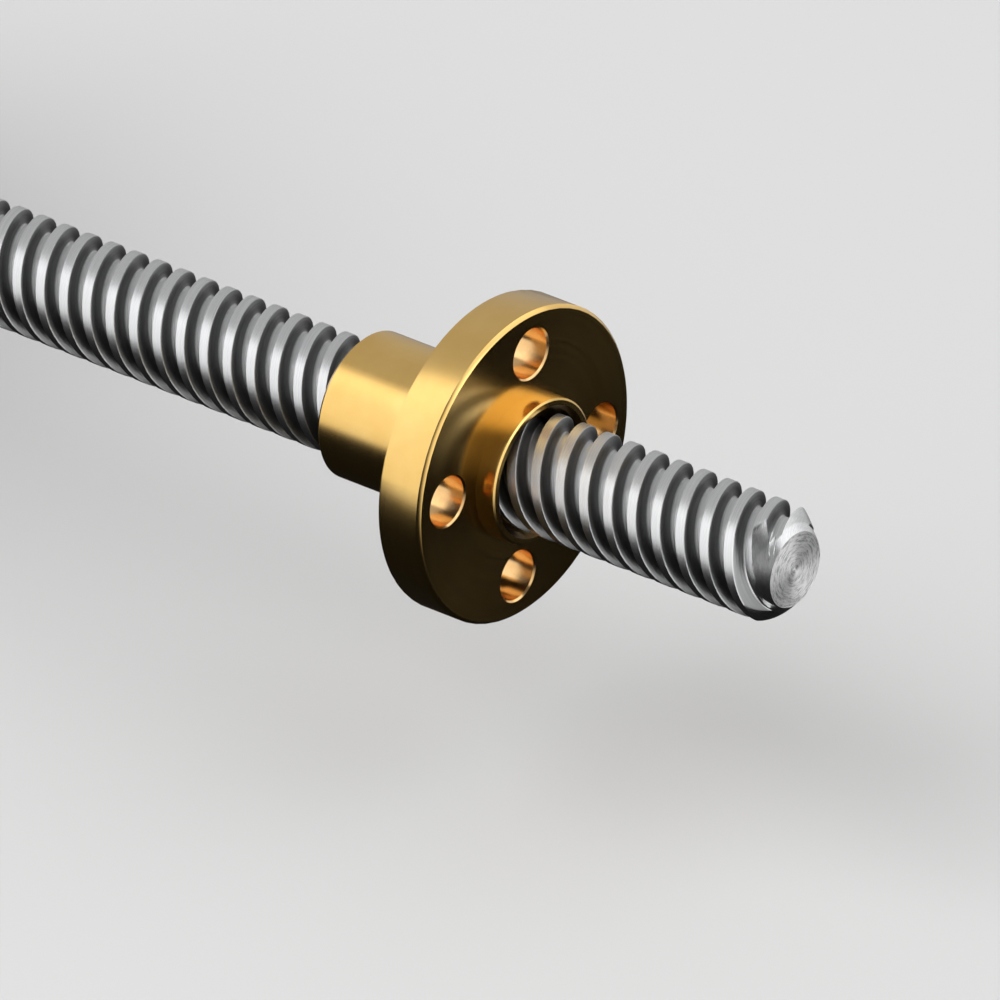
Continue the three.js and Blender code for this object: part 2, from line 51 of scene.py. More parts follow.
MM = 0.001

# ---- places, from the frame

screw_low, screw_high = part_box("lead_screw")
cap_low, cap_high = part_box("front_end_cap")
rear_low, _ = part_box("rear_end_cap")
stack_low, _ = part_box("stator_stack")
nut_low, nut_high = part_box("lead_nut")

PILOT_HEIGHT = 2.0
ORIGIN = Vector((cap_high.x - PILOT_HEIGHT * MM, 0, (screw_low.z + screw_high.z) / 2))


def along(x):
    """A station in metres, in millimetres from the mounting face."""
    return (x - ORIGIN.x) / MM


TIP = along(screw_high.x)
SHAFT_END = along(screw_low.x)
CAP_REAR = along(cap_low.x)
STACK_REAR = along(stack_low.x)
MOTOR_REAR = along(rear_low.x)
FRAME_HALF = (cap_high.y - cap_low.y) / 2 / MM
NUT_REAR = along(nut_low.x)
NUT_FRONT = along(nut_high.x)

# ---- thread

STARTS = 4
LEAD = 8.0
PHASE = math.radians(7)  # a crest's angle from +Y at the screw's free end
SCREW = {"crest": 4.0, "root": 3.0, "land": math.radians(16.5), "flank": math.radians(12)}
NUT_THREAD = {"crest": 4.25, "root": 3.3, "land": math.radians(25), "flank": math.radians(12)}
LAND_STEPS = 4
ROOT_STEPS = 3
FLANK_AT = (0.08, 0.36, 0.64, 0.9)  # places down a flank, from its crest edge to its root fillet
EDGE = math.radians(0.9)  # how far the small bevels reach onto the crest and the root
FILLET = math.radians(1.6)
LEAST_FLANK = math.radians(1.2)


def half_lobe(form, limit):
    """Half of one crest and valley, from the crest's middle, where the crest is cut to a limit."""
    crest = min(form["crest"], limit)
    root = min(form["root"], limit)
    slope = form["flank"] / (form["crest"] - form["root"])
    foot = form["land"] + form["flank"]
    corner = min(form["land"] + slope * (form["crest"] - crest), foot - LEAST_FLANK)
    side = [((corner - EDGE) * i / LAND_STEPS, form["crest"]) for i in range(LAND_STEPS + 1)]
    side += [(corner + (foot - corner) * t, crest + (root - crest) * t) for t in FLANK_AT]
    start = foot + FILLET
    valley = math.pi / STARTS
    return side + [(start + (valley - start) * i / ROOT_STEPS, root) for i in range(ROOT_STEPS + 1)]


def thread_section(form, limit=None, floor=0.0):
    """A four-start section as (angle, radius) pairs. A limit is a function of the angle."""
    allowed = limit or (lambda angle: form["crest"])
    section = []
    for start in range(STARTS):
        middle = start * TAU / STARTS
        for way in (-1, 1):
            side = half_lobe(form, allowed(middle + way * form["land"]))
            places = side[-2:0:-1] if way < 0 else side
            section += [(middle + way * angle, radius) for angle, radius in places]
    return [(angle, max(min(radius, allowed(angle)), floor)) for angle, radius in section]


COLUMNS = len(thread_section(SCREW))


def twist(x):
    return PHASE + (x - TIP) / LEAD * TAU


def polar_ring(x, section, turn=0.0):
    """Points of a section at a station on the screw's axis."""
    return [
        (x, radius * math.cos(angle + turn), radius * math.sin(angle + turn))
        for angle, radius in section
    ]


def circle(x, radius, columns):
    return polar_ring(x, [(i * TAU / columns, radius) for i in range(columns)])


# ---- mesh helpers

OVER = 1.0  # how far a cutter reaches past the faces it cuts
ARC_SHORT = 0.15  # a point of a rounded edge, as shares of the edge's size
ARC_LONG = 0.5

# columns round a turned shape
LARGE_ROUND = 144
RING_ROUND = 96
CAGE_ROUND = 84
HOLE_ROUND = 64
BOLT_ROUND = 48
SMALL_ROUND = 32

# degrees between two faces above which their shared edge is sharp
SHARP = 30
THREAD_SHARP = 28
STACK_SHARP = 50
BALL_SHARP = 60


def mesh_object(name, points, faces, materials, sharp=SHARP):
    """An object from points in millimetres, with smooth faces and sharp edges above an angle."""
    mesh = bpy.data.meshes.new(name)
    mesh.from_pydata([Vector(p) * MM + ORIGIN for p in points], [], faces)
    mesh.validate()
    made = bpy.data.objects.new(name, mesh)
    bpy.context.scene.collection.objects.link(made)
    for material in materials:
        mesh.materials.append(material)
    finish_mesh(made, sharp)
    return made


def finish_mesh(thing, sharp=SHARP):
    """Turns the faces outward, and smooths them between sharp edges."""
    mesh = thing.data
    work = bmesh.new()
    work.from_mesh(mesh)
    bmesh.ops.recalc_face_normals(work, faces=work.faces)
    work.to_mesh(mesh)
    work.free()
    mesh.shade_smooth()
    mesh.set_sharp_from_angle(angle=math.radians(sharp))


def lattice(rings, closed=False):
    """Points and faces of a skin over rings of equal count. An open one gets flat ends."""
    count = len(rings[0])
    points = [p for ring in rings for p in ring]
    faces = []
    pairs = list(zip(range(len(rings)), range(1, len(rings))))
    if closed:
        pairs.append((len(rings) - 1, 0))
    for low, high in pairs:
        for i in range(count):
            j = (i + 1) % count
            faces.append((low * count + i, low * count + j, high * count + j, high * count + i))
    if not closed:
        faces.append(tuple(range(count)))
        faces.append(tuple(range((len(rings) - 1) * count, len(rings) * count)))
    return points, faces


def turned(name, profile, materials, columns, closed=False, sharp=SHARP):
    """A solid of revolution about the screw's axis, from (x, radius) points."""
    points, faces = lattice([circle(x, r, columns) for x, r in profile], closed)
    return mesh_object(name, points, faces, materials, sharp)


def shifted(profile, x):
    return [(place_x + x, r) for place_x, r in profile]


def boolean(target, tools, operation="DIFFERENCE"):
    """Cuts or joins with other objects, which are used up."""
    for tool in tools:
        modifier = target.modifiers.new("cut", "BOOLEAN")
        modifier.operation = operation
        modifier.solver = "EXACT"
        modifier.object = tool
    graph = bpy.context.evaluated_depsgraph_get()
    result = bpy.data.meshes.new_from_object(target.evaluated_get(graph))
    target.modifiers.clear()
    target.data = result
    for tool in tools:
        bpy.data.objects.remove(tool)


def moved(thing, x=0.0, y=0.0, z=0.0):
    """Shifts a mesh by millimetres."""
    thing.data.transform(Matrix.Translation(Vector((x, y, z)) * MM))
    return thing


def dress(piece, body, node):
    """A finished piece: it rides on a body and stands for its CAD node."""
    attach(piece, body)
    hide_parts(node)


# ---- material helpers


class Nodes:
    """A short way to write a node tree."""

    def __init__(self, tree):
        self.tree = tree

    def add(self, kind, inputs=None, **settings):
        node = self.tree.nodes.new(kind)
        for key, value in settings.items():
            setattr(node, key, value)
        for key, value in (inputs or {}).items():
            if isinstance(value, bpy.types.NodeSocket):
                self.tree.links.new(value, node.inputs[key])
            else:
                node.inputs[key].default_value = value
        return node

    def math(self, operation, a, b=0.0, c=0.0):
        return self.add("ShaderNodeMath", {0: a, 1: b, 2: c}, operation=operation).outputs[0]

    def noise(self, vector, scale, detail=4.0, roughness=0.6):
        inputs = {"Vector": vector, "Scale": scale, "Detail": detail, "Roughness": roughness}
        return self.add("ShaderNodeTexNoise", inputs).outputs["Fac"]

    def cloud(self, vector, scale):
        """Soft, broad noise."""
        return self.noise(vector, scale, detail=3.0, roughness=0.55)

    def ramp(self, value, stops):
        """Colours or greys between places on a scale."""
        node = self.add("ShaderNodeValToRGB", {"Fac": value})
        elements = node.color_ramp.elements
        while len(elements) < len(stops):
            elements.new(0.5)
        for element, (place, colour) in zip(elements, stops):
            element.position = place
            element.color = (*colour, 1)
        return node.outputs["Color"]

    def mottle(self, value, colours):
        """One colour where a noise is low and another where it is high."""
        return self.ramp(value, list(zip((0.3, 0.7), colours)))

    def span(self, value, low, high):
        """A value from 0 to 1, as a number between low and high."""
        inputs = {"Value": value, "To Min": low, "To Max": high}
        return self.add("ShaderNodeMapRange", inputs).outputs["Result"]

    def bump(self, height, distance, strength=1.0):
        inputs = {"Height": height, "Distance": distance, "Strength": strength}
        return self.add("ShaderNodeBump", inputs).outputs["Normal"]


def new_material(name, **values):
    """A material with a Principled shader whose plain sockets hold the given values."""
    material = bpy.data.materials.new(name)
    material.use_nodes = True
    shader = material.node_tree.nodes["Principled BSDF"]
    for key, value in values.items():
        shader.inputs[key.replace("_", " ")].default_value = value
    return material, Nodes(material.node_tree), shader


def place(nodes):
    """The point in the frame, in millimetres from the screw's axis at the mounting face."""
    coordinates = nodes.add("ShaderNodeTexCoord").outputs["Object"]
    inputs = {0: coordinates, 1: ORIGIN}
    from_axis = nodes.add("ShaderNodeVectorMath", inputs, operation="SUBTRACT").outputs[0]
    scaled = {0: from_axis, "Scale": 1 / MM}
    return nodes.add("ShaderNodeVectorMath", scaled, operation="SCALE").outputs[0]


def cylinder_place(nodes, point, stretch=0.0):
    """A vector that hardly changes round the axis, so that noise makes rings, or broken arcs."""
    parts = nodes.add("ShaderNodeSeparateXYZ", {0: point}).outputs
    squares = [nodes.math("MULTIPLY", part, part) for part in (parts[1], parts[2])]
    inputs = {
        0: nodes.math("SQRT", nodes.math("ADD", *squares)),
        1: nodes.math("ADD", parts[0], nodes.math("MULTIPLY", parts[1], stretch)),
        2: nodes.math("MULTIPLY", parts[2], stretch),
    }
    return nodes.add("ShaderNodeCombineXYZ", inputs).outputs[0]


def distance_from_axis(nodes, point):
    return nodes.add("ShaderNodeSeparateXYZ", {0: cylinder_place(nodes, point)}).outputs[0]


def round_tangent(nodes):
    return nodes.add("ShaderNodeTangent", direction_type="RADIAL", axis="X").outputs[0]


def link(nodes, shader, **sockets):
    for key, value in sockets.items():
        nodes.tree.links.new(value, shader.inputs[key.replace("_", " ")])


# ---- materials


def brass_material():
    """Turned brass: rings of fine tool marks, slightly uneven in colour and polish."""
    material, nodes, shader = new_material("turned_brass", Metallic=1.0, Anisotropic=0.45)
    point = place(nodes)
    rings = nodes.noise(cylinder_place(nodes, point, stretch=0.01), scale=9.0)
    cloud = nodes.cloud(point, scale=0.35)
    link(
        nodes, shader,
        Base_Color=nodes.mottle(cloud, [(0.75, 0.48, 0.15), (0.8, 0.535, 0.19)]),
        Roughness=nodes.span(rings, 0.15, 0.25),
        Tangent=round_tangent(nodes),
        Normal=nodes.bump(rings, distance=0.000003, strength=0.5),
    )
    return material


def inside_brass_material(name, scale, colours, roughness):
    """Brass inside the nut, with one noise for its colour and its polish."""
    material, nodes, shader = new_material(name, Metallic=1.0)
    marks = nodes.noise(place(nodes), scale)
    link(
        nodes, shader,
        Base_Color=nodes.mottle(marks, colours),
        Roughness=nodes.span(marks, *roughness),
    )
    return material


BRUSH_STRETCH = (0.06, 1, 1)  # noise scale along the thread, and across it
SPECKS = 0.7  # strength of the specks beside the brushing


def screw_steel_material(name, flank_painted_shade):
    """Screw steel, brushed along the thread, with painted shade darkening what lies between crest
    and root.
    """
    material, nodes, shader = new_material(name, Metallic=1.0)
    point = place(nodes)
    parts = nodes.add("ShaderNodeSeparateXYZ", {0: point}).outputs
    unwind = nodes.math("MULTIPLY", nodes.math("SUBTRACT", parts[0], TIP), -TAU / LEAD)
    rotate = {"Vector": point, "Angle": unwind, "Center": (0, 0, 0)}
    straight = nodes.add("ShaderNodeVectorRotate", rotate, rotation_type="X_AXIS").outputs[0]
    stretch = {0: straight, 1: BRUSH_STRETCH}
    along_thread = nodes.add("ShaderNodeVectorMath", stretch, operation="MULTIPLY").outputs[0]
    brushed = nodes.noise(along_thread, scale=7.0, roughness=0.65)
    specks = nodes.noise(point, scale=4.0, detail=6.0, roughness=0.7)
    radius = distance_from_axis(nodes, point)
    heights = {"Value": radius, "From Min": SCREW["root"], "From Max": SCREW["crest"]}
    height_share = nodes.add("ShaderNodeMapRange", heights).outputs["Result"]
    # painted shade: the colour is darkened by radius, most at the flank's foot, a little less at
    # its brow, not on crest or root
    plain = (1, 1, 1)
    foot = (flank_painted_shade,) * 3
    brow = (1.2 * flank_painted_shade,) * 3
    flank = nodes.ramp(height_share, [(0.03, plain), (0.12, foot), (0.9, brow), (0.985, plain)])
    tint = nodes.ramp(brushed, [(0.3, (0.56, 0.565, 0.57)), (0.68, (0.74, 0.745, 0.75))])
    mixed = nodes.add("ShaderNodeMix", {"Factor": 1.0, "A": tint, "B": flank},
                      data_type="RGBA", blend_type="MULTIPLY")
    height = nodes.math("ADD", brushed, nodes.math("MULTIPLY", specks, SPECKS))
    link(
        nodes, shader,
        Base_Color=mixed.outputs["Result"],
        Roughness=nodes.span(brushed, 0.26, 0.42),
        Normal=nodes.bump(height, distance=0.000012, strength=0.8),
    )
    return material


def faced_steel_material():
    """The screw's cut end: coarse concentric tool marks."""
    material, nodes, shader = new_material(
        "faced_steel", Metallic=0.75, Anisotropic=0.8, Anisotropic_Rotation=0.25)
    point = place(nodes)
    rings = nodes.noise(cylinder_place(nodes, point, stretch=0.2), scale=7.0, roughness=0.7)
    link(
        nodes, shader,
        Base_Color=nodes.ramp(rings, [(0.36, (0.45, 0.455, 0.46)), (0.54, (0.98, 0.98, 0.98))]),
        Roughness=nodes.span(rings, 0.36, 0.5),
        Tangent=round_tangent(nodes),
        Normal=nodes.bump(rings, distance=0.00004),
    )
    return material


BRASS = brass_material()
# the fresh, paler brass of the drilled holes
DRILLED = inside_brass_material(
    "drilled_brass", 2.0, [(0.76, 0.47, 0.2), (0.84, 0.54, 0.25)], (0.16, 0.24))
# the thread and its mouth, in a dark brass that stands for their deep shade
BORE = inside_brass_material(
    "bore_brass", 1.4, [(0.1, 0.06, 0.02), (0.17, 0.105, 0.035)], (0.3, 0.45))
# both carry a painted shade on the flanks: 0.34 of the colour on the thread, a lighter 0.8 on the
# chamfer
THREAD_STEEL = screw_steel_material("rolled_thread_steel", flank_painted_shade=0.34)
LESS_SHADED_STEEL = screw_steel_material("turned_steel_less_painted_shade", flank_painted_shade=0.8)
FACED_STEEL = faced_steel_material()


def surface(name, colours, roughness, scale, bump, detail=4.0, broad=0.25, rings=False,
            **values):
    """Small differences of colour and polish, mottled or in rings about the axis."""
    material, nodes, shader = new_material(name, **values)
    point = place(nodes)
    pattern = cylinder_place(nodes, point, stretch=0.02) if rings else point
    fine = nodes.noise(pattern, scale, detail)
    if "Anisotropic" in values:
        link(nodes, shader, Tangent=round_tangent(nodes))
    link(
        nodes, shader,
        Base_Color=nodes.mottle(nodes.cloud(point, broad), colours),
        Roughness=nodes.span(fine, *roughness),
        Normal=nodes.bump(fine, bump),
    )
    return material


def metal(name, colours, roughness, scale, bump=0.000006, Metallic=1.0, **values):
    return surface(name, colours, roughness, scale, bump, Metallic=Metallic, **values)


def plastic(name, colours, roughness, scale, bump, **values):
    """A moulded or coated surface."""
    return surface(name, colours, roughness, scale, bump, detail=5.0, broad=0.3, **values)


WIRE = 0.32  # thickness of the winding's wire


def copper_material():
    """Enamelled wire, wound in close turns."""
    material, nodes, shader = new_material("enamelled_copper", Metallic=0.9, Coat_Weight=0.5)
    point = place(nodes)
    turns = nodes.math("MULTIPLY", distance_from_axis(nodes, point), TAU / WIRE)
    wire = nodes.math("SINE", turns)
    tone = nodes.noise(point, scale=1.2, roughness=0.55)
    link(
        nodes, shader,
        Base_Color=nodes.mottle(tone, [(0.42, 0.13, 0.05), (0.62, 0.22, 0.09)]),
        Roughness=nodes.span(tone, 0.25, 0.4),
        Normal=nodes.bump(wire, distance=0.00006),
    )
    return material


# name, two colours, least and most roughness, scale of the mottling
CAST = metal("cast_aluminium", [(0.56, 0.565, 0.57), (0.64, 0.645, 0.65)], (0.36, 0.52), 7.0,
             bump=0.00002, Metallic=0.7)
MACHINED = metal("machined_aluminium", [(0.7, 0.705, 0.71), (0.78, 0.785, 0.79)], (0.28, 0.42), 8.0,
                 bump=0.000005, rings=True, Anisotropic=0.5, Metallic=0.6)
CUT_STEEL = metal("cut_steel", [(0.34, 0.35, 0.36), (0.46, 0.465, 0.47)], (0.3, 0.45), 8.0)
ZINC = metal("zinc_plated_steel", [(0.6, 0.61, 0.62), (0.72, 0.725, 0.73)], (0.22, 0.36), 10.0)
POLISHED = metal("bearing_steel", [(0.6, 0.605, 0.61), (0.66, 0.665, 0.67)], (0.1, 0.18), 12.0,
                 bump=0.000002, rings=True)
RIVETED = metal("cage_steel", [(0.45, 0.45, 0.46), (0.55, 0.55, 0.56)], (0.3, 0.42), 9.0)
TINNED = metal("tinned_metal", [(0.72, 0.71, 0.69), (0.8, 0.79, 0.77)], (0.22, 0.38), 6.0)
MAGNET = metal("magnet_alloy", [(0.12, 0.12, 0.13), (0.18, 0.18, 0.19)], (0.4, 0.55), 5.0)
PAINTED = plastic("black_painted_laminations", [(0.012, 0.012, 0.014), (0.022, 0.022, 0.025)],
                  (0.3, 0.46), 5.0, bump=0.00002, Specular_IOR_Level=0.5)
NYLON = plastic("moulded_nylon", [(0.78, 0.76, 0.7), (0.84, 0.82, 0.76)], (0.36, 0.5), 4.0,
                bump=0.00001, Subsurface_Weight=0.08, Subsurface_Scale=0.0006)
BOARD = plastic("circuit_board", [(0.02, 0.11, 0.05), (0.03, 0.15, 0.07)], (0.3, 0.42), 3.0,
                bump=0.000006, Coat_Weight=0.3)
COPPER = copper_material()


# ---- camera, floor, light

VIEW_DIRECTION = (38.8, 28.8)
VIEW_DISTANCE = 1.5
VIEW_LENS = 826.0
SENSOR = 36
FLANGE_FACE = 77.5  # from the mounting face
AIM_RIGHT = -1.60  # where the camera points, beside and below the flange's middle
AIM_UP = -2.28
FLOOR_HALF = 12.0
LIGHT_TARGET = (0.03, 0, 0.02)
KEY_DIRECTION = (-40, 50)
KEY_DISTANCE = 0.9
KEY_SIZE = (0.9, 0.6)
KEY_POWER = 4.0
BACKDROP = (0.8, 0.8, 0.8, 1)  # what the camera sees past the floor

# the studio's grey low down and high up, between two heights of a direction
GREY_HEIGHTS = (-0.3, 0.4)
GREYS = (0.008, 0.14)

# direction, half angle of the even part, half angle of the whole, strength
SOFT_BOXES = [
    ((-37, 22), 32, 42, 1.2),  # the bright band on the front of everything round
    ((-141, 45), 50, 84, 0.42),  # the even light on the tops
    ((122, 46), 28, 46, 1.0),  # the edges that face the screw's free end
    ((90, 2), 24, 46, 1.3),  # the screw's end face
    ((178, 4), 12, 36, 0.4),  # the far side of the edges
]


def towards(azimuth, elevation):
    """A direction, from degrees round from -Y towards +X and degrees up."""
    a, e = math.radians(azimuth), math.radians(elevation)
    return Vector((math.sin(a) * math.cos(e), -math.cos(a) * math.cos(e), math.sin(e)))


def add_camera():
    azimuth = math.radians(VIEW_DIRECTION[0])
    back = towards(*VIEW_DIRECTION)
    right = Vector((math.cos(azimuth), math.sin(azimuth), 0))
    up = back.cross(right)
    target = ORIGIN + Vector((FLANGE_FACE, 0, 0)) * MM + (right * AIM_RIGHT + up * AIM_UP) * MM
    data = bpy.data.cameras.new("camera")
    data.lens = VIEW_LENS
    data.sensor_width = SENSOR
    data.clip_start = 0.01
    data.clip_end = 100
    camera = bpy.data.objects.new("camera", data)
    camera.rotation_mode = "QUATERNION"
    camera.location = target + back * VIEW_DISTANCE
    camera.rotation_quaternion = (-back).to_track_quat("-Z", "Y")
    bpy.context.scene.collection.objects.link(camera)
    bpy.context.scene.camera = camera


def add_floor():
    corners = [(-1, -1), (1, -1), (1, 1), (-1, 1)]
    mesh = bpy.data.meshes.new("floor")
    mesh.from_pydata([(x * FLOOR_HALF, y * FLOOR_HALF, 0) for x, y in corners], [], [(0, 1, 2, 3)])
    material, _, _ = new_material("pale_floor", Roughness=0.7, Base_Color=(0.62, 0.62, 0.62, 1))
    mesh.materials.append(material)
    floor = bpy.data.objects.new("floor", mesh)
    bpy.context.scene.collection.objects.link(floor)
    floor.visible_glossy = False


def add_key_light():
    """A large light that faces the object, and that reflections leave out."""
    away = towards(*KEY_DIRECTION)
    data = bpy.data.lights.new("key_light", "AREA")
    data.shape = "RECTANGLE"
    data.size, data.size_y = KEY_SIZE
    data.energy = KEY_POWER
    light = bpy.data.objects.new("key_light", data)
    light.location = Vector(LIGHT_TARGET) + away * KEY_DISTANCE
    light.rotation_mode = "QUATERNION"
    light.rotation_quaternion = (-away).to_track_quat("-Z", "Y")
    light.visible_camera = False
    light.visible_glossy = False
    bpy.context.scene.collection.objects.link(light)


def smooth_range(nodes, value, source, result):
    """Eases from one number to another while a value goes through a range."""
    inputs = {"Value": value, "From Min": source[0], "From Max": source[1],
              "To Min": result[0], "To Max": result[1]}
    node = nodes.add("ShaderNodeMapRange", inputs, interpolation_type="SMOOTHSTEP")
    return node.outputs["Result"]


def add_world():
    """A studio with soft bright areas, seen in the metal. The camera sees a plain pale backdrop."""
    world = bpy.data.worlds.new("studio")
    bpy.context.scene.world = world
    world.use_nodes = True
    nodes = Nodes(world.node_tree)
    world.node_tree.nodes.clear()
    direction = nodes.add("ShaderNodeTexCoord").outputs["Generated"]
    upward = nodes.add("ShaderNodeSeparateXYZ", {0: direction}).outputs[2]
    total = smooth_range(nodes, upward, GREY_HEIGHTS, GREYS)
    for way, inner, outer, strength in SOFT_BOXES:
        dot = nodes.add("ShaderNodeVectorMath", {0: direction, 1: towards(*way)},
                        operation="DOT_PRODUCT").outputs["Value"]
        edges = (math.cos(math.radians(outer)), math.cos(math.radians(inner)))
        total = nodes.math("ADD", total, smooth_range(nodes, dot, edges, (0.0, strength)))
    seen = nodes.add("ShaderNodeLightPath").outputs["Is Camera Ray"]
    studio = nodes.add("ShaderNodeBackground", {"Color": total, "Strength": 1.0}).outputs[0]
    plain = nodes.add("ShaderNodeBackground", {"Color": BACKDROP}).outputs[0]
    mixed = nodes.add("ShaderNodeMixShader", {0: seen, 1: studio, 2: plain}).outputs[0]
    nodes.add("ShaderNodeOutputWorld", {"Surface": mixed})


add_camera()
add_floor()
add_world()
add_key_light()
bpy.context.scene.view_settings.view_transform = "Standard"

# ---- lead screw

CHAMFER_END = 2.62  # radius of the flat end
COLLAR = 3.9
COLLAR_REAR = -1.5
COLLAR_EDGE = 0.1
THREAD_START = 1.2
JOURNAL = 2.5
JOURNAL_EDGE = 0.4
SLICES = 40  # in one lead
TIP_LENGTH = 3.4
TIP_SLICES = 85
CHAMFER_REACH = 1.3  # how far back from the end the chamfer cuts the crests
DRESSED = (28, 22, 0.4)  # where the chamfer was filed further: angle, spread, extra reach
NECK_START = (98, 148)  # angles between which the filed neck comes in
NECK_SLOPE = 0.42
NECK_VALLEY = math.radians(225)  # the valley that ends the neck, as an angle from the first crest
NECK_RISE = 0.15
CHAMFER_SLACK = 0.01  # how near to the chamfer a point counts as on it
END_FACE_DEPTH = 0.00001  # in metres


def smooth_step(low, high, value):
    share = min(max((value - low) / (high - low), 0.0), 1.0)
    return share * share * (3 - 2 * share)


def chamfer_radius(back, angle):
    """The chamfer's radius at a distance back from the end, at an angle from +Y.

    Past an angle the last crest is filed away down to a neck, as far back as the next valley.
    """
    degrees = math.degrees(angle) % 360
    middle, spread, extra = DRESSED
    away = (degrees - middle + 180) % 360 - 180
    reach = CHAMFER_REACH + extra * math.exp(-((away / spread) ** 2))
    cone = CHAMFER_END + (SCREW["crest"] - CHAMFER_END) * back / reach
    valley = (PHASE + NECK_VALLEY - math.radians(degrees)) / TAU * LEAD
    neck = CHAMFER_END + NECK_SLOPE * back
    neck += SCREW["crest"] * smooth_step(valley - NECK_RISE, valley + NECK_RISE, back)
    return cone - max(cone - neck, 0.0) * smooth_step(*NECK_START, degrees)


def screw_rings():
    """Rings from the shaft's rear end to the screw's tip."""
    plain = thread_section(SCREW)
    angles = [angle for angle, _ in plain]
    start = twist(THREAD_START)

    def round_ring(x, radius):
        return polar_ring(x, [(angle, radius) for angle in angles], start)

    rings = [
        round_ring(SHAFT_END, JOURNAL - JOURNAL_EDGE),
        round_ring(SHAFT_END + JOURNAL_EDGE, JOURNAL),
        round_ring(COLLAR_REAR, JOURNAL),
        round_ring(COLLAR_REAR, COLLAR - COLLAR_EDGE),
        round_ring(COLLAR_REAR + COLLAR_EDGE, COLLAR),
        round_ring(THREAD_START, COLLAR),
    ]
    body = TIP - TIP_LENGTH - THREAD_START
    count = round(body / LEAD * SLICES)
    for i in range(count + 1):
        x = THREAD_START + body * i / count
        rings.append(polar_ring(x, plain, twist(x)))
    for i in range(1, TIP_SLICES + 1):
        back = TIP_LENGTH * (1 - i / TIP_SLICES)
        turn = twist(TIP - back)
        section = thread_section(SCREW, lambda angle: chamfer_radius(back, angle + turn))
        rings.append(polar_ring(TIP - back, section, turn))
    return rings


def on_chamfer(point):
    """Whether a point of the screw's mesh lies on its chamfer."""
    x, y, z = (point - ORIGIN) / MM
    back = max(TIP - x, 0.0)
    limit = chamfer_radius(back, math.atan2(z, y)) - CHAMFER_SLACK
    return back < TIP_LENGTH and math.hypot(y, z) > limit


def build_screw():
    points, faces = lattice(screw_rings())
    # index 2, the chamfer, takes the steel copy with the lighter painted shade
    steels = [THREAD_STEEL, FACED_STEEL, LESS_SHADED_STEEL]
    screw = mesh_object("screw_shaft", points, faces, steels, THREAD_SHARP)
    for face in screw.data.polygons:
        if face.center.x > screw_high.x - END_FACE_DEPTH:
            face.material_index = 1
        elif all(on_chamfer(screw.data.vertices[i].co) for i in face.vertices):
            face.material_index = 2
    dress(screw, "rotor", "lead_screw")


build_screw()

# ---- nut

NUT = {
    "flange": 11.0, "thickness": 3.5, "chamfer": 0.24, "hub": 5.1, "boss": 1.5,
    "edge": 0.3, "mouth": 4.6, "mouth_depth": 0.9, "hole": 1.75, "circle": 8.0,
}
HOLE_ANGLES = [math.radians(85.1) + i * TAU / 4 for i in range(4)]
FLANGE_FRONT = NUT_FRONT - NUT["boss"]
FLANGE_BACK = FLANGE_FRONT - NUT["thickness"]
HUB_FILLET = 0.12
CHAMFER_SOFT = 0.02  # rounding between the flange's front chamfer and what it meets
HOLE_SOFT = 0.12
MOUTH_STEPS = 6


def nut_outline():
    """The outside from the rear mouth to the front mouth, as (x, radius)."""
    front, back, soft = FLANGE_FRONT, FLANGE_BACK, CHAMFER_SOFT
    flange, hub, edge, chamfer = NUT["flange"], NUT["hub"], NUT["edge"], NUT["chamfer"]
    return [
        (NUT_REAR, hub - edge),
        (NUT_REAR + edge, hub),
        (back - HUB_FILLET, hub),
        (back, hub + HUB_FILLET),
        (back, flange - chamfer),
        (back + ARC_LONG * chamfer, flange - ARC_SHORT * chamfer),
        (back + chamfer, flange),
        (front - chamfer, flange),
        (front - chamfer + soft, flange - soft * 0.6),
        (front - soft * 0.6, flange - chamfer + soft),
        (front, flange - chamfer),
        (front, hub),
        (NUT_FRONT - edge, hub),
        (NUT_FRONT - 0.3 * edge, hub - 0.12 * edge),
        (NUT_FRONT, hub - 0.55 * edge),
    ]


def bore_ring(x, depth):
    """A ring of the nut's thread, opened out by the mouth's cone at a depth from the face."""
    share = min(depth / NUT["mouth_depth"], 1.0)
    floor = NUT["mouth"] + (NUT_THREAD["root"] - NUT["mouth"]) * share
    return polar_ring(x, thread_section(NUT_THREAD, None, floor), twist(x))


def hole_places():
    return [(NUT["circle"] * math.cos(a), NUT["circle"] * math.sin(a)) for a in HOLE_ANGLES]


def drill_nut(nut):
    """Cuts the flange's holes, with their edges broken."""
    hole, soft = NUT["hole"], HOLE_SOFT
    profile = [
        (FLANGE_BACK - OVER, hole + soft),
        (FLANGE_BACK, hole + soft),
        (FLANGE_BACK + soft, hole),
        (FLANGE_FRONT - soft, hole),
        (FLANGE_FRONT, hole + soft),
        (FLANGE_FRONT + OVER / 2, hole + soft),
    ]
    drills = [moved(turned(f"drill_{i}", profile, [BRASS], HOLE_ROUND), 0, y, z)
              for i, (y, z) in enumerate(hole_places())]
    boolean(nut, drills)


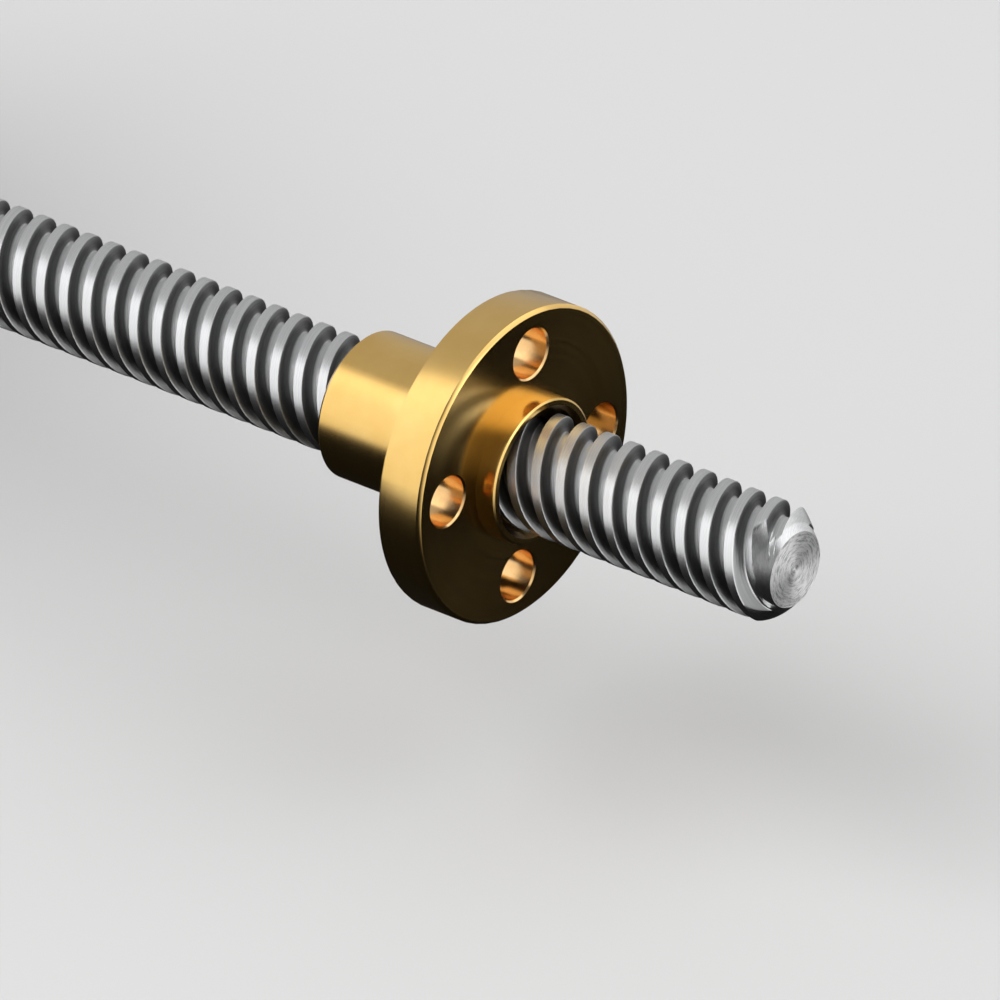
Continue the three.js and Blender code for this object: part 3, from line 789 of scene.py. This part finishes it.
def build_nut():
    angles = [angle for angle, _ in thread_section(NUT_THREAD)]
    turns = (NUT_FRONT - NUT_REAR) / LEAD * TAU
    step = TAU / STARTS
    residue = turns - round(turns / step) * step
    shift = round(turns / step) * (COLUMNS // STARTS)
    rings = []
    for x, radius in nut_outline():
        behind = x <= FLANGE_BACK and radius < NUT["flange"] - NUT["chamfer"]
        turn = twist(NUT_FRONT) - (residue if behind else 0.0)
        rings.append(polar_ring(x, [(angle, radius) for angle in angles], turn))
    mouth = NUT["mouth_depth"]
    inner = [NUT_FRONT - mouth * i / MOUTH_STEPS for i in range(MOUTH_STEPS)]
    body = NUT_FRONT - NUT_REAR - 2 * mouth
    count = round(body / LEAD * SLICES)
    inner += [NUT_FRONT - mouth - body * i / count for i in range(count)]
    inner += [NUT_REAR + mouth * (1 - i / MOUTH_STEPS) for i in range(MOUTH_STEPS + 1)]
    for x in inner:
        rings.append(bore_ring(x, min(NUT_FRONT - x, x - NUT_REAR)))
    points, faces = lattice(rings)
    faces = faces[:-2]
    last = (len(rings) - 1) * COLUMNS
    for i in range(COLUMNS):
        j = (i + 1) % COLUMNS
        faces.append((last + i, last + j, (j - shift) % COLUMNS, (i - shift) % COLUMNS))
    nut = mesh_object("flanged_nut", points, faces, [BRASS], THREAD_SHARP)
    drill_nut(nut)
    nut.data.materials.append(DRILLED)
    nut.data.materials.append(BORE)
    finish_mesh(nut, THREAD_SHARP)
    for face in nut.data.polygons:
        y, z = face.center.y / MM, (face.center.z - ORIGIN.z) / MM
        for hole_y, hole_z in hole_places():
            away = math.hypot(y - hole_y, z - hole_z)
            if away < NUT["hole"] + HOLE_SOFT and abs(face.normal.x) < 0.9:
                face.material_index = 1
        if math.hypot(y, z) < NUT["mouth"]:
            face.material_index = 2
    dress(nut, "nut", "lead_nut")


build_nut()

# ---- motor case

CAP_CORNER = 3.5
CORNER_STEPS = 8
STACK_CHAMFER = 5
SHEET = 0.5  # thickness of a lamination
BOLT_PLACE = 15.5
BOLT_HOLE = 1.5
BOLT_CLEARANCE = 1.6
THREAD_PITCH = 0.5
THREAD_DEPTH = 0.28
CAVITY = 18.4
SEAT_WALL = 10.0
SEAT = 8.02
CAP_WALL = 3.5
SHAFT_HOLE = 4.5
REAR_HOLE = 3.2
PILOT_RADIUS = 11.0
PILOT_CHAMFER = 0.3
COUNTERBORE = 3.1
COUNTERBORE_DEPTH = 2.4
FRONT_BEARING = -4.0
REAR_BEARING = -35.0
BEARING_HALF = 2.5
SPRING_GAP = 0.8
CAP_JOINT_EDGE = 0.25  # edge rounding of the caps where they meet the stack
CAP_FRONT_EDGE = 0.6
CAP_REAR_EDGE = 0.9
SEAT_EDGE = 0.2
SHAFT_HOLE_EDGE = 0.35
REAR_HOLE_EDGE = 0.3
COUNTERBORE_EDGE = 0.25
# the groove round the pilot, as (x, radius beyond the pilot's)
RELIEF = [(-0.2, -0.25), (-0.2, 0.45), (0.0, 0.65), (0.3, 0.65), (0.3, -0.0005), (0.0, -0.0005)]
# the shallow ring in the rear face, as (x from the face, radius)
DISH = [(-OVER, 6.0), (-OVER, 9.6), (0.0, 9.6), (0.35, 9.25), (0.35, 6.35), (0.0, 6.0)]
MACHINED_DEPTH = 0.25  # how far behind the mounting face the machining reaches
MACHINED_RADIUS = 12


def square_ring(x, inset):
    """A square outline with round corners, inset from the cap's sides."""
    radius = CAP_CORNER - inset
    centre = FRAME_HALF - CAP_CORNER
    ring = []
    for quarter, (y, z) in enumerate([(1, 1), (-1, 1), (-1, -1), (1, -1)]):
        for i in range(CORNER_STEPS + 1):
            angle = (quarter + i / CORNER_STEPS) * TAU / 4
            ring.append((x, y * centre + radius * math.cos(angle),
                         z * centre + radius * math.sin(angle)))
    return ring


def eased(x, way, radius, steps=4):
    """(x, inset) points of a rounded edge that ends at a station; way is where the body lies."""
    turns = [i * TAU / 4 / steps for i in range(steps + 1)]
    return [(x + way * radius * (1 - math.cos(a)), radius * (1 - math.sin(a))) for a in turns]


def cap_body(name, rear, front, rear_edge, front_edge, materials):
    profile = eased(rear, 1, rear_edge) + eased(front, -1, front_edge)[::-1]
    points, faces = lattice([square_ring(x, inset) for x, inset in profile])
    return mesh_object(name, points, faces, materials)


def at_bolts(make):
    """Makes a thing at each of the four case screws."""
    made = []
    for y, z in [(1, 1), (-1, 1), (-1, -1), (1, -1)]:
        made.append(moved(make(len(made)), 0, y * BOLT_PLACE, z * BOLT_PLACE))
    return made


def tapped_drill(rear, front):
    """A cutter that leaves the grooves of a metric thread, and a countersink at its front."""
    profile = [(rear, BOLT_HOLE)]
    x = rear + THREAD_PITCH
    while x < front - 2 * THREAD_PITCH:
        profile += [(x, BOLT_HOLE), (x + THREAD_PITCH / 2, BOLT_HOLE - THREAD_DEPTH)]
        x += THREAD_PITCH
    countersink = BOLT_HOLE + THREAD_DEPTH
    return profile + [(front - THREAD_DEPTH, BOLT_HOLE), (front, countersink),
                      (front + OVER, countersink)]


def off_axis(face):
    """A face's distance from the screw's axis, in metres."""
    return math.hypot(face.center.y, face.center.z - ORIGIN.z)


def flag_faces(thing, index, test):
    for face in thing.data.polygons:
        if test(face):
            face.material_index = index


def build_front_cap():
    edges = (CAP_JOINT_EDGE, CAP_FRONT_EDGE)
    cap = cap_body("front_cap", CAP_REAR, 0.0, *edges, [CAST, MACHINED])
    near, far = ARC_SHORT * PILOT_CHAMFER, ARC_LONG * PILOT_CHAMFER
    pilot = turned("pilot", [
        (-OVER, PILOT_RADIUS),
        (PILOT_HEIGHT - PILOT_CHAMFER, PILOT_RADIUS),
        (PILOT_HEIGHT - far, PILOT_RADIUS - near),
        (PILOT_HEIGHT - near, PILOT_RADIUS - far),
        (PILOT_HEIGHT, PILOT_RADIUS - PILOT_CHAMFER),
    ], [MACHINED], LARGE_ROUND)
    boolean(cap, [pilot], "UNION")
    hollow = turned("hollow", [
        (CAP_REAR - OVER, CAVITY),
        (-CAP_WALL, CAVITY),
        (-CAP_WALL, SEAT_WALL),
        (FRONT_BEARING - BEARING_HALF, SEAT_WALL),
        (FRONT_BEARING - BEARING_HALF, SEAT + SEAT_EDGE),
        (FRONT_BEARING - BEARING_HALF + SEAT_EDGE, SEAT),
        (FRONT_BEARING + BEARING_HALF, SEAT),
        (FRONT_BEARING + BEARING_HALF, SHAFT_HOLE),
        (PILOT_HEIGHT - SHAFT_HOLE_EDGE, SHAFT_HOLE),
        (PILOT_HEIGHT, SHAFT_HOLE + SHAFT_HOLE_EDGE),
        (PILOT_HEIGHT + OVER, SHAFT_HOLE + SHAFT_HOLE_EDGE),
    ], [MACHINED], LARGE_ROUND)
    groove = [(x, PILOT_RADIUS + beyond) for x, beyond in RELIEF]
    relief = turned("relief", groove, [MACHINED], LARGE_ROUND, closed=True)
    tap = tapped_drill(CAP_REAR - OVER, 0.0)
    drills = at_bolts(lambda i: turned(f"tap_{i}", tap, [MACHINED], SMALL_ROUND))
    boolean(cap, [hollow, relief, *drills])
    finish_mesh(cap)
    face_x = ORIGIN.x - MACHINED_DEPTH * MM
    flag_faces(cap, 1, lambda face: face.center.x > face_x and (
        face.normal.x > 0.95 or off_axis(face) < MACHINED_RADIUS * MM))
    dress(cap, "housing", "front_end_cap")


def block(name, low, high, material, bevel=0.0):
    """A box, with its edges rounded where a bevel is given."""
    mesh = bpy.data.meshes.new(name)
    work = bmesh.new()
    bmesh.ops.create_cube(work, size=1)
    for vertex in work.verts:
        share = vertex.co + Vector((0.5, 0.5, 0.5))
        place_mm = [a + (b - a) * t for a, b, t in zip(low, high, share)]
        vertex.co = Vector(place_mm) * MM + ORIGIN
    if bevel:
        bmesh.ops.bevel(work, geom=list(work.edges), offset=bevel * MM, segments=3,
                        profile=0.5, affect="EDGES")
    work.to_mesh(mesh)
    work.free()
    mesh.materials.append(material)
    made = bpy.data.objects.new(name, mesh)
    bpy.context.scene.collection.objects.link(made)
    return made


NOTCH_LOW = (-41.0, -7.1, 14.8)
NOTCH_HIGH = (-35.2, 7.1, 22.2)


def build_rear_cap():
    edges = (CAP_REAR_EDGE, CAP_JOINT_EDGE)
    cap = cap_body("rear_cap", MOTOR_REAR, STACK_REAR, *edges, [CAST, MACHINED])
    seat_floor = REAR_BEARING - BEARING_HALF - SPRING_GAP
    hollow = turned("hollow", [
        (MOTOR_REAR - OVER, REAR_HOLE + REAR_HOLE_EDGE),
        (MOTOR_REAR, REAR_HOLE + REAR_HOLE_EDGE),
        (MOTOR_REAR + REAR_HOLE_EDGE, REAR_HOLE),
        (seat_floor, REAR_HOLE),
        (seat_floor, SEAT),
        (REAR_BEARING + BEARING_HALF, SEAT),
        (REAR_BEARING + BEARING_HALF, SEAT_WALL),
        (MOTOR_REAR + CAP_WALL, SEAT_WALL),
        (MOTOR_REAR + CAP_WALL, CAVITY),
        (STACK_REAR + OVER, CAVITY),
    ], [MACHINED], LARGE_ROUND)
    dish = turned("dish", shifted(DISH, MOTOR_REAR), [CAST], LARGE_ROUND, closed=True)
    bore = [
        (MOTOR_REAR - OVER, COUNTERBORE + COUNTERBORE_EDGE),
        (MOTOR_REAR, COUNTERBORE + COUNTERBORE_EDGE),
        (MOTOR_REAR + COUNTERBORE_EDGE, COUNTERBORE),
        (MOTOR_REAR + COUNTERBORE_DEPTH, COUNTERBORE),
        (MOTOR_REAR + COUNTERBORE_DEPTH, BOLT_CLEARANCE),
        (STACK_REAR + OVER, BOLT_CLEARANCE),
    ]
    bores = at_bolts(lambda i: turned(f"bore_{i}", bore, [MACHINED], BOLT_ROUND))
    notch = block("notch", NOTCH_LOW, NOTCH_HIGH, CAST)
    boolean(cap, [hollow, dish, *bores, notch])
    finish_mesh(cap)
    dress(cap, "housing", "rear_end_cap")


# ---- stator

POLES = 8
YOKE = 18.6
POLE_NECK = 2.2
SHOE_OUTER = 14.9
SHOE_EDGE = 14.3
SHOE_HALF = math.radians(19.8)
TOOTH_TIP = 13.25
TOOTH_ROOT = 13.9
TOOTH_HALF = math.radians(1.6)
TEETH_PER_POLE = 6
ROTOR_PITCH = TAU / 50
STACK_SOFT = 0.35  # rounding of the stack's cut corners
SHEET_GROOVE = 0.05  # depth of the grooves between laminations


def bore_outline():
    """The slots and the toothed bore of a lamination, as (angle, radius) points."""
    slot_angle = math.asin(POLE_NECK / YOKE)
    shoe_angle = math.atan2(POLE_NECK, SHOE_OUTER)
    shoe_radius = math.hypot(SHOE_OUTER, POLE_NECK)
    outline = []
    for pole in range(POLES):
        middle = pole * TAU / POLES
        outline += [(middle - slot_angle, YOKE), (middle - shoe_angle, shoe_radius),
                    (middle - SHOE_HALF, SHOE_EDGE)]
        for tooth in range(TEETH_PER_POLE):
            centre = middle + (tooth - (TEETH_PER_POLE - 1) / 2) * ROTOR_PITCH
            if tooth > 0:
                outline.append((centre - TOOTH_HALF, TOOTH_ROOT))
            outline += [(centre - TOOTH_HALF, TOOTH_TIP), (centre + TOOTH_HALF, TOOTH_TIP)]
            if tooth < TEETH_PER_POLE - 1:
                outline.append((centre + TOOTH_HALF, TOOTH_ROOT))
        outline += [(middle + SHOE_HALF, SHOE_EDGE), (middle + shoe_angle, shoe_radius),
                    (middle + slot_angle, YOKE), (middle + TAU / POLES / 2, YOKE)]
    return outline


def stack_ring(x, inset):
    """The lamination's outline, a square with cut corners, inset by a little."""
    side = FRAME_HALF - inset
    flat = FRAME_HALF - STACK_CHAMFER - (math.sqrt(2) - 1) * inset
    across = STACK_SOFT / math.sqrt(2)
    slight = 0.2 * across
    top = [
        (side, flat - STACK_SOFT),
        (side - slight, flat + slight),
        (side - across, flat + across),
    ]
    face = [(y, -z) for y, z in reversed(top)] + top
    ring = []
    for quarter in range(4):
        turn = quarter * TAU / 4
        for y, z in face:
            ring.append((x, y * math.cos(turn) - z * math.sin(turn),
                         y * math.sin(turn) + z * math.cos(turn)))
    return ring


def build_stack():
    length = CAP_REAR - STACK_REAR
    count = round(length / SHEET)
    step = length / count
    gap = SHEET_GROOVE
    rings = []
    for i in range(count):
        low = STACK_REAR + i * step
        rings += [stack_ring(low, gap), stack_ring(low + gap, 0.0),
                  stack_ring(low + step - gap, 0.0)]
    rings.append(stack_ring(CAP_REAR, gap))
    points, faces = lattice(rings)
    steels = [PAINTED, CUT_STEEL]
    stack = mesh_object("lamination_stack", points, faces, steels, STACK_SHARP)
    section = bore_outline()
    bore_rings = [polar_ring(x, section) for x in (STACK_REAR - OVER, CAP_REAR + OVER)]
    bore = mesh_object("bore", *lattice(bore_rings), [PAINTED])
    drill = [(STACK_REAR - OVER, BOLT_CLEARANCE), (CAP_REAR + OVER, BOLT_CLEARANCE)]
    drills = at_bolts(lambda i: turned(f"drill_{i}", drill, [PAINTED], SMALL_ROUND))
    boolean(stack, [bore, *drills])
    finish_mesh(stack, STACK_SHARP)
    flag_faces(stack, 1, lambda face: off_axis(face) < YOKE * MM and abs(face.normal.x) < 0.5)
    dress(stack, "housing", "stator_stack")


# ---- case screws

HEAD = 2.75
HEAD_HEIGHT = 2.0
SHANK = 1.4
SCREW_TIP = -5.2
CROSS_REACH = 1.45
CROSS_HALF = 0.3
CROSS_DEPTH = 1.1
CROSS_BOTTOM = 0.55
DOME = 0.9
DOME_STEPS = 6
HEAD_CENTRE = 0.2  # radius where the dome's profile starts
HEAD_EDGE = 0.1
RIDGE = 0.12  # how high the thread stands


def case_screw(index):
    """A pan-head screw with a cross recess, made on the screw's axis."""
    seat = MOTOR_REAR + COUNTERBORE_DEPTH
    top = seat - HEAD_HEIGHT
    turns = [i * TAU / 4 / DOME_STEPS for i in range(DOME_STEPS + 1)]
    dome = [(top + DOME * (1 - math.sin(a)), HEAD - DOME * (1 - math.cos(a))) for a in turns]
    profile = [(top, HEAD_CENTRE), *reversed(dome),
               (seat - HEAD_EDGE, HEAD), (seat, HEAD - HEAD_EDGE), (seat, SHANK)]
    x = STACK_REAR
    while x < SCREW_TIP - 1.0:
        profile += [(x, SHANK - RIDGE), (x + THREAD_PITCH / 2, SHANK)]
        x += THREAD_PITCH
    profile += [(SCREW_TIP - 0.4, SHANK - RIDGE), (SCREW_TIP, SHANK - 0.45)]
    screw = turned(f"case_bolt_{index + 1}", profile, [ZINC], BOLT_ROUND)
    arms = [
        (top - OVER, CROSS_REACH * 1.25, CROSS_HALF * 1.2),
        (top, CROSS_REACH, CROSS_HALF),
        (top + CROSS_DEPTH, CROSS_BOTTOM, CROSS_HALF * 0.7),
    ]
    cutters = []
    for y_axis in (True, False):
        points = []
        for x, reach, half in arms:
            for y, z in [(-reach, -half), (reach, -half), (reach, half), (-reach, half)]:
                points.append((x, y, z) if y_axis else (x, -z, y))
        rings = [points[i:i + 4] for i in (0, 4, 8)]
        cutters.append(mesh_object(f"cross_{y_axis}", *lattice(rings), [ZINC]))
    boolean(screw, cutters)
    finish_mesh(screw)
    return screw


# ---- bearings, spacers, magnet

BALLS = 7
BALL = 1.19
BALL_CIRCLE = 5.3
GROOVE = 1.25
RACE_INNER = 4.25
RACE_OUTER = 6.35
BEARING_BORE = 2.52
BEARING_OUTER = 8.0
MAGNET_OUTER = 11.5
SPACER_OUTER = 3.6
EASE = 0.25  # edge rounding of the rings
GROOVE_STEPS = 10
SHIELD_INSET = 0.05
# a pressed shield with a shallow step, as (depth behind its face, radius)
SHIELD = [(0, 6.3), (0, 5.9), (0.08, 5.75), (0.08, 4.45), (0, 4.32), (0.25, 4.32), (0.25, 6.3)]
CAGE = {"inner": 4.95, "outer": 5.65, "half": 1.55, "pocket": 1.29, "reach": (4.0, 6.4)}
BALL_ROWS = 20


def race_profile(back, shoulder, way):
    """A bearing ring about x = 0: way is +1 where its groove lies inside it."""
    reach = math.sqrt(GROOVE ** 2 - (shoulder - BALL_CIRCLE) ** 2)
    groove = [-reach + 2 * reach * i / GROOVE_STEPS for i in range(GROOVE_STEPS + 1)]
    half = BEARING_HALF
    floor = [(x, BALL_CIRCLE + way * math.sqrt(GROOVE ** 2 - x * x)) for x in groove]
    return [(-half, back - way * EASE), (-half, shoulder), *floor, (half, shoulder),
            (half, back - way * EASE), (half - EASE, back), (-half + EASE, back)]


def shield_profile(x, way):
    face = x + way * (BEARING_HALF - SHIELD_INSET)
    return [(face - way * depth, radius) for depth, radius in SHIELD]


def build_cage(end, x):
    inner, outer, half = CAGE["inner"], CAGE["outer"], CAGE["half"]
    profile = [(x - half, inner), (x - half, outer), (x + half, outer), (x + half, inner)]
    cage = turned(f"{end}_cage", profile, [RIVETED], CAGE_ROUND, closed=True)
    pocket = [circle(reach, CAGE["pocket"], SMALL_ROUND) for reach in CAGE["reach"]]
    points, faces = lattice(pocket)
    cutters = []
    for i in range(BALLS):
        angle = i * TAU / BALLS
        tilted = []
        for d, a, b in points:
            tilted.append((x + a, d * math.cos(angle) - b * math.sin(angle),
                           d * math.sin(angle) + b * math.cos(angle)))
        cutters.append(mesh_object(f"pocket_{i}", tilted, faces, [RIVETED]))
    boolean(cage, cutters)
    finish_mesh(cage)
    dress(cage, f"{end}_cage", f"{end}_bearing_cage")


def build_ball(end, index, x):
    angle = index * TAU / BALLS
    turns = [i * math.pi / BALL_ROWS for i in range(1, BALL_ROWS)]
    profile = shifted([(-BALL * math.cos(a), BALL * math.sin(a)) for a in turns], x)
    name = f"{end}_ball_{index + 1}"
    ball = turned(name, profile, [POLISHED], SMALL_ROUND, sharp=BALL_SHARP)
    moved(ball, 0, BALL_CIRCLE * math.cos(angle), BALL_CIRCLE * math.sin(angle))
    dress(ball, f"{end}_cage", f"{end}_bearing_ball_{index + 1}")


def build_bearing(end, x):
    outer = race_profile(BEARING_OUTER, RACE_OUTER, 1)
    inner = race_profile(BEARING_BORE, RACE_INNER, -1)
    rings = [("outer_ring", outer, "housing"), ("inner_ring", inner, "rotor")]
    for name, ring, body in rings:
        made = turned(f"{end}_{name}", shifted(ring, x), [POLISHED], RING_ROUND, closed=True)
        dress(made, body, f"{end}_bearing_{name}")
    for index, way in [(1, 1), (2, -1)]:
        profile = shield_profile(x, way)
        made = turned(f"{end}_shield_{index}", profile, [TINNED], RING_ROUND, closed=True)
        dress(made, "housing", f"{end}_bearing_shield_{index}")
    build_cage(end, x)
    for i in range(BALLS):
        build_ball(end, i, x)


def build_sleeve(name, node, material, outer):
    """A smooth ring that takes its ends from the CAD node, with eased edges."""
    low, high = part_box(node)
    rear, front, inner = along(low.x), along(high.x), BEARING_BORE
    profile = [(rear, inner), (rear, outer - EASE), (rear + EASE, outer), (front - EASE, outer),
               (front, outer - EASE), (front, inner)]
    made = turned(name, profile, [material], RING_ROUND, closed=True)
    dress(made, "rotor", node)


# ---- connector

SOCKET_LOW = (-39.9, -6.95, 15.0)
SOCKET_HIGH = (-35.4, 6.95, 21.0)
SOCKET_WALL = 0.6
SOCKET_BASE = 1.5
PINS = 6
PIN_PITCH = 2.0
PIN_HALF = 0.32
PIN_TAIL = 15.75
PIN_TOP = 20.1
BOARD_BACK = -34.9
PIN_BEND = 0.34
BEND_STEPS = 6
PIN_POINT = 0.7  # length of the pin's blunt point
PIN_X = (SOCKET_LOW[0] + SOCKET_HIGH[0]) / 2
PIN_SLACK = PIN_HALF + 0.02
PIN_CUT = 0.78  # where a pin's corners are cut, as a share of its half width
WINDOWS = (-4.2, 4.2)  # middles of the latch windows
WINDOW_HALF = 0.9
WINDOW_DEPTH = 2.6
SLOT = (-38.2, -37.1)  # the side slots' ends
SLOT_DEPTH = 0.9
SLOT_FLOOR = 2.4


def pin_y(index):
    return (index - (PINS - 1) / 2) * PIN_PITCH


def build_pin(index):
    """A square pin that leaves the board, turns up inside the socket and ends in a blunt point."""
    bend = PIN_BEND
    path = [(BOARD_BACK, PIN_TAIL, 0.0, 1.0), (PIN_X + bend, PIN_TAIL, 0.0, 1.0)]
    for i in range(1, BEND_STEPS):
        a = i * TAU / 4 / BEND_STEPS
        x = PIN_X + bend * (1 - math.sin(a))
        path.append((x, PIN_TAIL + bend * (1 - math.cos(a)), a, 1.0))
    path += [
        (PIN_X, PIN_TAIL + bend, TAU / 4, 1.0),
        (PIN_X, PIN_TOP - PIN_POINT, TAU / 4, 1.0),
        (PIN_X, PIN_TOP, TAU / 4, 0.45),
    ]
    cut = PIN_CUT
    section = [(-1, -cut), (-cut, -1), (cut, -1), (1, -cut)]
    section += [(-u, -v) for u, v in section]
    rings = []
    for x, z, angle, scale in path:
        half = PIN_HALF * scale
        rings.append([(x + u * half * math.sin(angle), pin_y(index) + v * half,
                       z + u * half * math.cos(angle)) for u, v in section])
    pin = mesh_object(f"pin_{index + 1}", *lattice(rings), [TINNED])
    dress(pin, "housing", f"connector_pin_{index + 1}")


def build_socket():
    socket = block("socket", SOCKET_LOW, SOCKET_HIGH, NYLON, bevel=0.12)
    (rear, left, bottom), (front, right, top) = SOCKET_LOW, SOCKET_HIGH
    wall = SOCKET_WALL
    cavity_low = (rear + wall, left + wall, bottom + SOCKET_BASE)
    cavity_high = (front - wall, right - wall, top + OVER)
    cutters = [block("cavity", cavity_low, cavity_high, NYLON)]
    for y in WINDOWS:
        low = (rear - OVER, y - WINDOW_HALF, top - WINDOW_DEPTH)
        high = (rear + wall + 0.1, y + WINDOW_HALF, top + OVER)
        cutters.append(block(f"window_{y}", low, high, NYLON))
    for way in (-1, 1):
        side = way * right
        ends = sorted((side - way * SLOT_DEPTH, side + way * OVER))
        low = (SLOT[0], ends[0], bottom + SLOT_FLOOR)
        high = (SLOT[1], ends[1], top + OVER)
        cutters.append(block(f"slot_{way}", low, high, NYLON))
    slack = PIN_SLACK
    for i in range(PINS):
        low = (PIN_X - slack, pin_y(i) - slack, PIN_TAIL - slack)
        high = (front + OVER, pin_y(i) + slack, PIN_TAIL + slack)
        cutters.append(block(f"way_{i}", low, high, NYLON))
        high = (PIN_X + slack, pin_y(i) + slack, top)
        cutters.append(block(f"rise_{i}", low, high, NYLON))
    boolean(socket, cutters)
    finish_mesh(socket)
    dress(socket, "housing", "connector_housing")


# ---- all of the motor

build_front_cap()
build_rear_cap()
build_stack()
for number, bolt in enumerate(at_bolts(case_screw)):
    dress(bolt, "housing", f"case_screw_{number + 1}")
build_bearing("front", FRONT_BEARING)
build_bearing("rear", REAR_BEARING)
build_sleeve("magnet", "rotor_magnet", MAGNET, MAGNET_OUTER)
for end in ("front", "rear"):
    build_sleeve(f"{end}_spacer", f"rotor_spacer_{end}", ZINC, SPACER_OUTER)
build_socket()
for number in range(PINS):
    build_pin(number)

# CAD nodes that stay as they are, and their materials
KEPT = {
    "rotor_cup": CUT_STEEL,
    "bobbin": NYLON,
    "coil": COPPER,
    "winding_board": BOARD,
    "wave_spring": ZINC,
}
for node_name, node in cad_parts.items():
    for start, material in KEPT.items():
        if node_name.startswith(start):
            for material_slot in node.material_slots:
                material_slot.material = material
